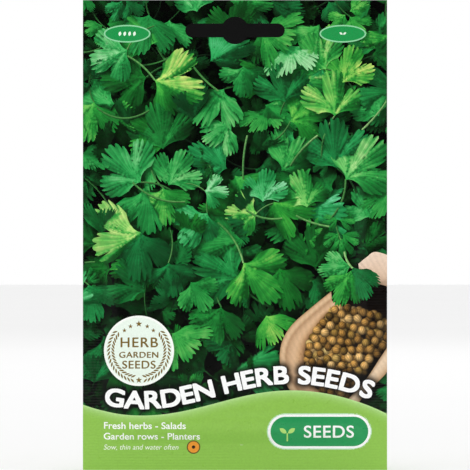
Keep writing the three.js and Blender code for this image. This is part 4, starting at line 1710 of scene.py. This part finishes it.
def varnished_print(name, with_veins, tint=0.05):
    """Printed paper under gloss varnish, with pressed ribs on its welded margins."""
    material, tree, place = new_finish(name)
    ink_layer = add_node(tree, "ShaderNodeAttribute", attribute_name="ink")
    if with_veins:
        reading = add_node(tree, "ShaderNodeAttribute", attribute_name="blade").outputs["Vector"]
        part = add_node(tree, "ShaderNodeSeparateXYZ", {0: reading}).outputs
        tooth = add_node(tree, "ShaderNodeMath", {0: part[0]}, operation="FRACT")
        off = add_node(tree, "ShaderNodeMath", {0: tooth, 1: 0.5}, operation="SUBTRACT")
        side = add_node(tree, "ShaderNodeMath", {0: off}, operation="ABSOLUTE")
        gap = add_node(tree, "ShaderNodeMath", {0: side, 1: part[1]}, operation="MULTIPLY")
        fade = {"Value": gap, "From Min": 0.02, "From Max": 0.2, "To Min": 0.36, "To Max": 0.0}
        line = add_node(tree, "ShaderNodeMapRange", fade, interpolation_type="SMOOTHSTEP")
        strong = add_node(tree, "ShaderNodeMath", {0: line, 1: part[2]}, operation="MULTIPLY")
        rise = add_node(tree, "ShaderNodeMath", {0: strong, 1: 1.0}, operation="ADD")
        ink_layer = add_node(tree, "ShaderNodeVectorMath", {0: ink_layer, "Scale": rise}, operation="SCALE")
    mottle = add_node(tree, "ShaderNodeTexNoise", {"Vector": place, "Scale": 1 / (0.7 * MM), "Detail": 2.0})
    uneven = {"Value": mottle, "From Min": 0.25, "From Max": 0.75, "To Min": 1 - tint, "To Max": 1 + tint}
    amount = add_node(tree, "ShaderNodeMapRange", uneven)
    coloured = add_node(tree, "ShaderNodeVectorMath", {0: ink_layer, "Scale": amount}, operation="SCALE")
    split = add_node(tree, "ShaderNodeSeparateXYZ", {0: place}).outputs
    beside = add_node(tree, "ShaderNodeMath", {0: split[0]}, operation="ABSOLUTE")
    margins = []
    for along, line, soft in (
        (beside, POUCH_HALF, 0.3),
        (split[2], POUCH_FLOOR, -0.3),
        (split[2], POUCH_CEILING, 0.3),
    ):
        reach = {"Value": along, "From Min": (line - soft) * MM, "From Max": (line + soft) * MM}
        margins.append(add_node(tree, "ShaderNodeMapRange", reach))
    sides, foot, head = margins
    ends = add_node(tree, "ShaderNodeMath", {0: foot, 1: head}, operation="MAXIMUM")
    welded = add_node(tree, "ShaderNodeMath", {0: sides, 1: ends}, operation="MAXIMUM")
    phase = add_node(tree, "ShaderNodeMath", {0: split[2], 1: 2 * math.pi / MM}, operation="MULTIPLY")
    rib = add_node(tree, "ShaderNodeMath", {0: phase}, operation="SINE")
    ribs = add_node(tree, "ShaderNodeMath", {0: rib, 1: welded}, operation="MULTIPLY")
    pressed = add_node(tree, "ShaderNodeBump", {"Height": ribs, "Distance": 0.012 * MM, "Strength": 1.0})
    fibre = add_node(tree, "ShaderNodeTexNoise", {"Vector": place, "Scale": 1 / (2.2 * MM), "Detail": 3.0})
    lifted = {"Height": fibre, "Distance": 0.03 * MM, "Strength": 1.0, "Normal": pressed}
    surface = add_node(tree, "ShaderNodeBump", lifted)
    gloss = {"Value": fibre, "From Min": 0.3, "From Max": 0.7, "To Min": 0.27, "To Max": 0.36}
    varnish = {"Base Color": coloured, "Roughness": add_node(tree, "ShaderNodeMapRange", gloss)}
    end_finish(tree, varnish | {"IOR": 1.49, "Specular IOR Level": 0.4, "Normal": surface})
    return material


def clouded_finish(name, dark, light, roughness, scale=4.0, detail=2.0):
    """A matt surface between two close tones."""
    material, tree, place = new_finish(name)
    cloud = add_node(tree, "ShaderNodeTexNoise", {"Vector": place, "Scale": scale, "Detail": detail})
    tones = {"Factor": cloud, 6: ink(dark), 7: ink(light)}
    tone = add_node(tree, "ShaderNodeMix", tones, data_type="RGBA").outputs[2]
    end_finish(tree, {"Base Color": tone, "Roughness": roughness, "IOR": 1.5})
    return material


front_varnish = varnished_print("varnished_gravure_print", True)
back_varnish = varnished_print("varnished_print_on_the_back", False)
# The inside of the film and its cut edge are a matt off-white sealing layer.
inner_film = clouded_finish("matt_sealing_layer", "dedbd1", "efece4", 0.55, 1 / (3 * MM), 4.0)
for panel, varnish in ((front, front_varnish), (back, back_varnish)):
    panel.data.materials.append(varnish)
    panel.data.materials.append(inner_film)
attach(front, "root")
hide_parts("front_panel")
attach(back, "root")
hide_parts("back_panel")
print(len(front_varnish.node_tree.nodes), "nodes in the varnished print")

# %% [markdown]
# ## Studio
#
# The packet hangs with its foot just at a wide pale floor, in even soft light, as for a shop's catalogue.
# Only the floor close to the packet shows in its varnish. That gives the soft sheen of gloss low on the film,
# and keeps the printed blacks deep where a whole white room in the varnish would turn them grey.

# %% Floor, light and camera
FLOOR_Z = (BOTTOM - 0.4) * MM


# A thin black sheet fills the hang slot. It is painted shade that stands for the dark seen through the hole,
# not a real hook.
slot_shade_ring = slot_outline(0.03)
count = len(slot_shade_ring)
slot_shade_points = [(x * MM, y * MM, z * MM) for y in (-0.1, 0.1) for x, z in slot_shade_ring]
slot_shade_faces = [tuple(range(count)), tuple(range(2 * count - 1, count - 1, -1))]
slot_shade_faces += [(i, (i + 1) % count, count + (i + 1) % count, count + i) for i in range(count)]
slot_shade = new_object("display_hook", new_mesh("display_hook", slot_shade_points, slot_shade_faces))
slot_shade.data.materials.append(clouded_finish("matt_black_painted_shade", "050505", "080808", 0.7))
slot_shade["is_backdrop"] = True
FLOOR_FAR, FLOOR_NEAR = 6.0, 0.2
square = ((-1, -1), (1, -1), (1, 1), (-1, 1))
floor_points = [(x * reach, y * reach, FLOOR_Z) for reach in (FLOOR_FAR, FLOOR_NEAR) for x, y in square]
floor_ring = [(i, (i + 1) % 4, 4 + (i + 1) % 4, 4 + i) for i in range(4)]
sweep = clouded_finish("matt_white_paper_sweep", "fdfdfd", "ffffff", 0.9)
for name, points, faces in (
    ("studio_floor", floor_points, floor_ring),
    ("floor_under_packet", floor_points[4:], [(0, 1, 2, 3)]),
):
    floor = new_object(name, new_mesh(name, points, faces))
    floor.data.materials.append(sweep)
    floor.visible_glossy = name == "floor_under_packet"
    floor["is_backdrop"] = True


def softbox(name, place, size, power, aim=(0, 0, -0.074)):
    data = bpy.data.lights.new(name, "AREA")
    data.shape, data.size, data.size_y, data.energy = "RECTANGLE", size[0], size[1], power
    made = new_object(name, data)
    made.location = place
    made.rotation_euler = (Vector(aim) - Vector(place)).to_track_quat("-Z", "Y").to_euler()
    return made


softbox("left_softbox", (-1.3, -0.9, 0.5), (1.0, 1.2), 1.6)
softbox("right_softbox", (1.3, -0.9, 0.4), (1.0, 1.2), 1.2)
softbox("back_softbox", (0.4, 1.5, 0.9), (1.4, 1.0), 2)
world = bpy.data.worlds.new("studio")
bpy.context.scene.world = world
world.use_nodes = True
world.cycles.sampling_method = "NONE"
sky = world.node_tree
sky.nodes.clear()
ray = add_node(sky, "ShaderNodeLightPath").outputs
level = add_node(sky, "ShaderNodeMapRange", {"Value": ray["Is Glossy Ray"], "To Min": 1.0, "To Max": 0.03})
strength = add_node(sky, "ShaderNodeMath", {0: level, 1: ray["Is Camera Ray"]}, operation="MAXIMUM")
glow = add_node(sky, "ShaderNodeBackground", {"Color": ink("ffffff"), "Strength": strength})
add_node(sky, "ShaderNodeOutputWorld", {"Surface": glow})

view = bpy.context.scene.view_settings
view.view_transform, view.look, view.exposure, view.gamma = "Standard", "None", 0.0, 1.0
lens = bpy.data.cameras.new("catalogue_camera")
camera = new_object("catalogue_camera", lens)
CAMERA_FAR = 1.6
lens.sensor_width = 36
lens.lens = lens.sensor_width * CAMERA_FAR / (HEIGHT * MM)
camera.location = (0, -CAMERA_FAR, (TOP + BOTTOM) / 2 * MM)
camera.rotation_euler = (math.pi / 2, 0, 0)
bpy.context.scene.camera = camera
print(f"a {lens.lens:.0f} mm lens at {CAMERA_FAR} m frames the packet's height")

# %% [markdown]
# Last, the visual model's box is found and printed.

# %% Sizes, and the end
visual_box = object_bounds()
print("visual box", visual_box, round(time.time() - started, 1), "s")
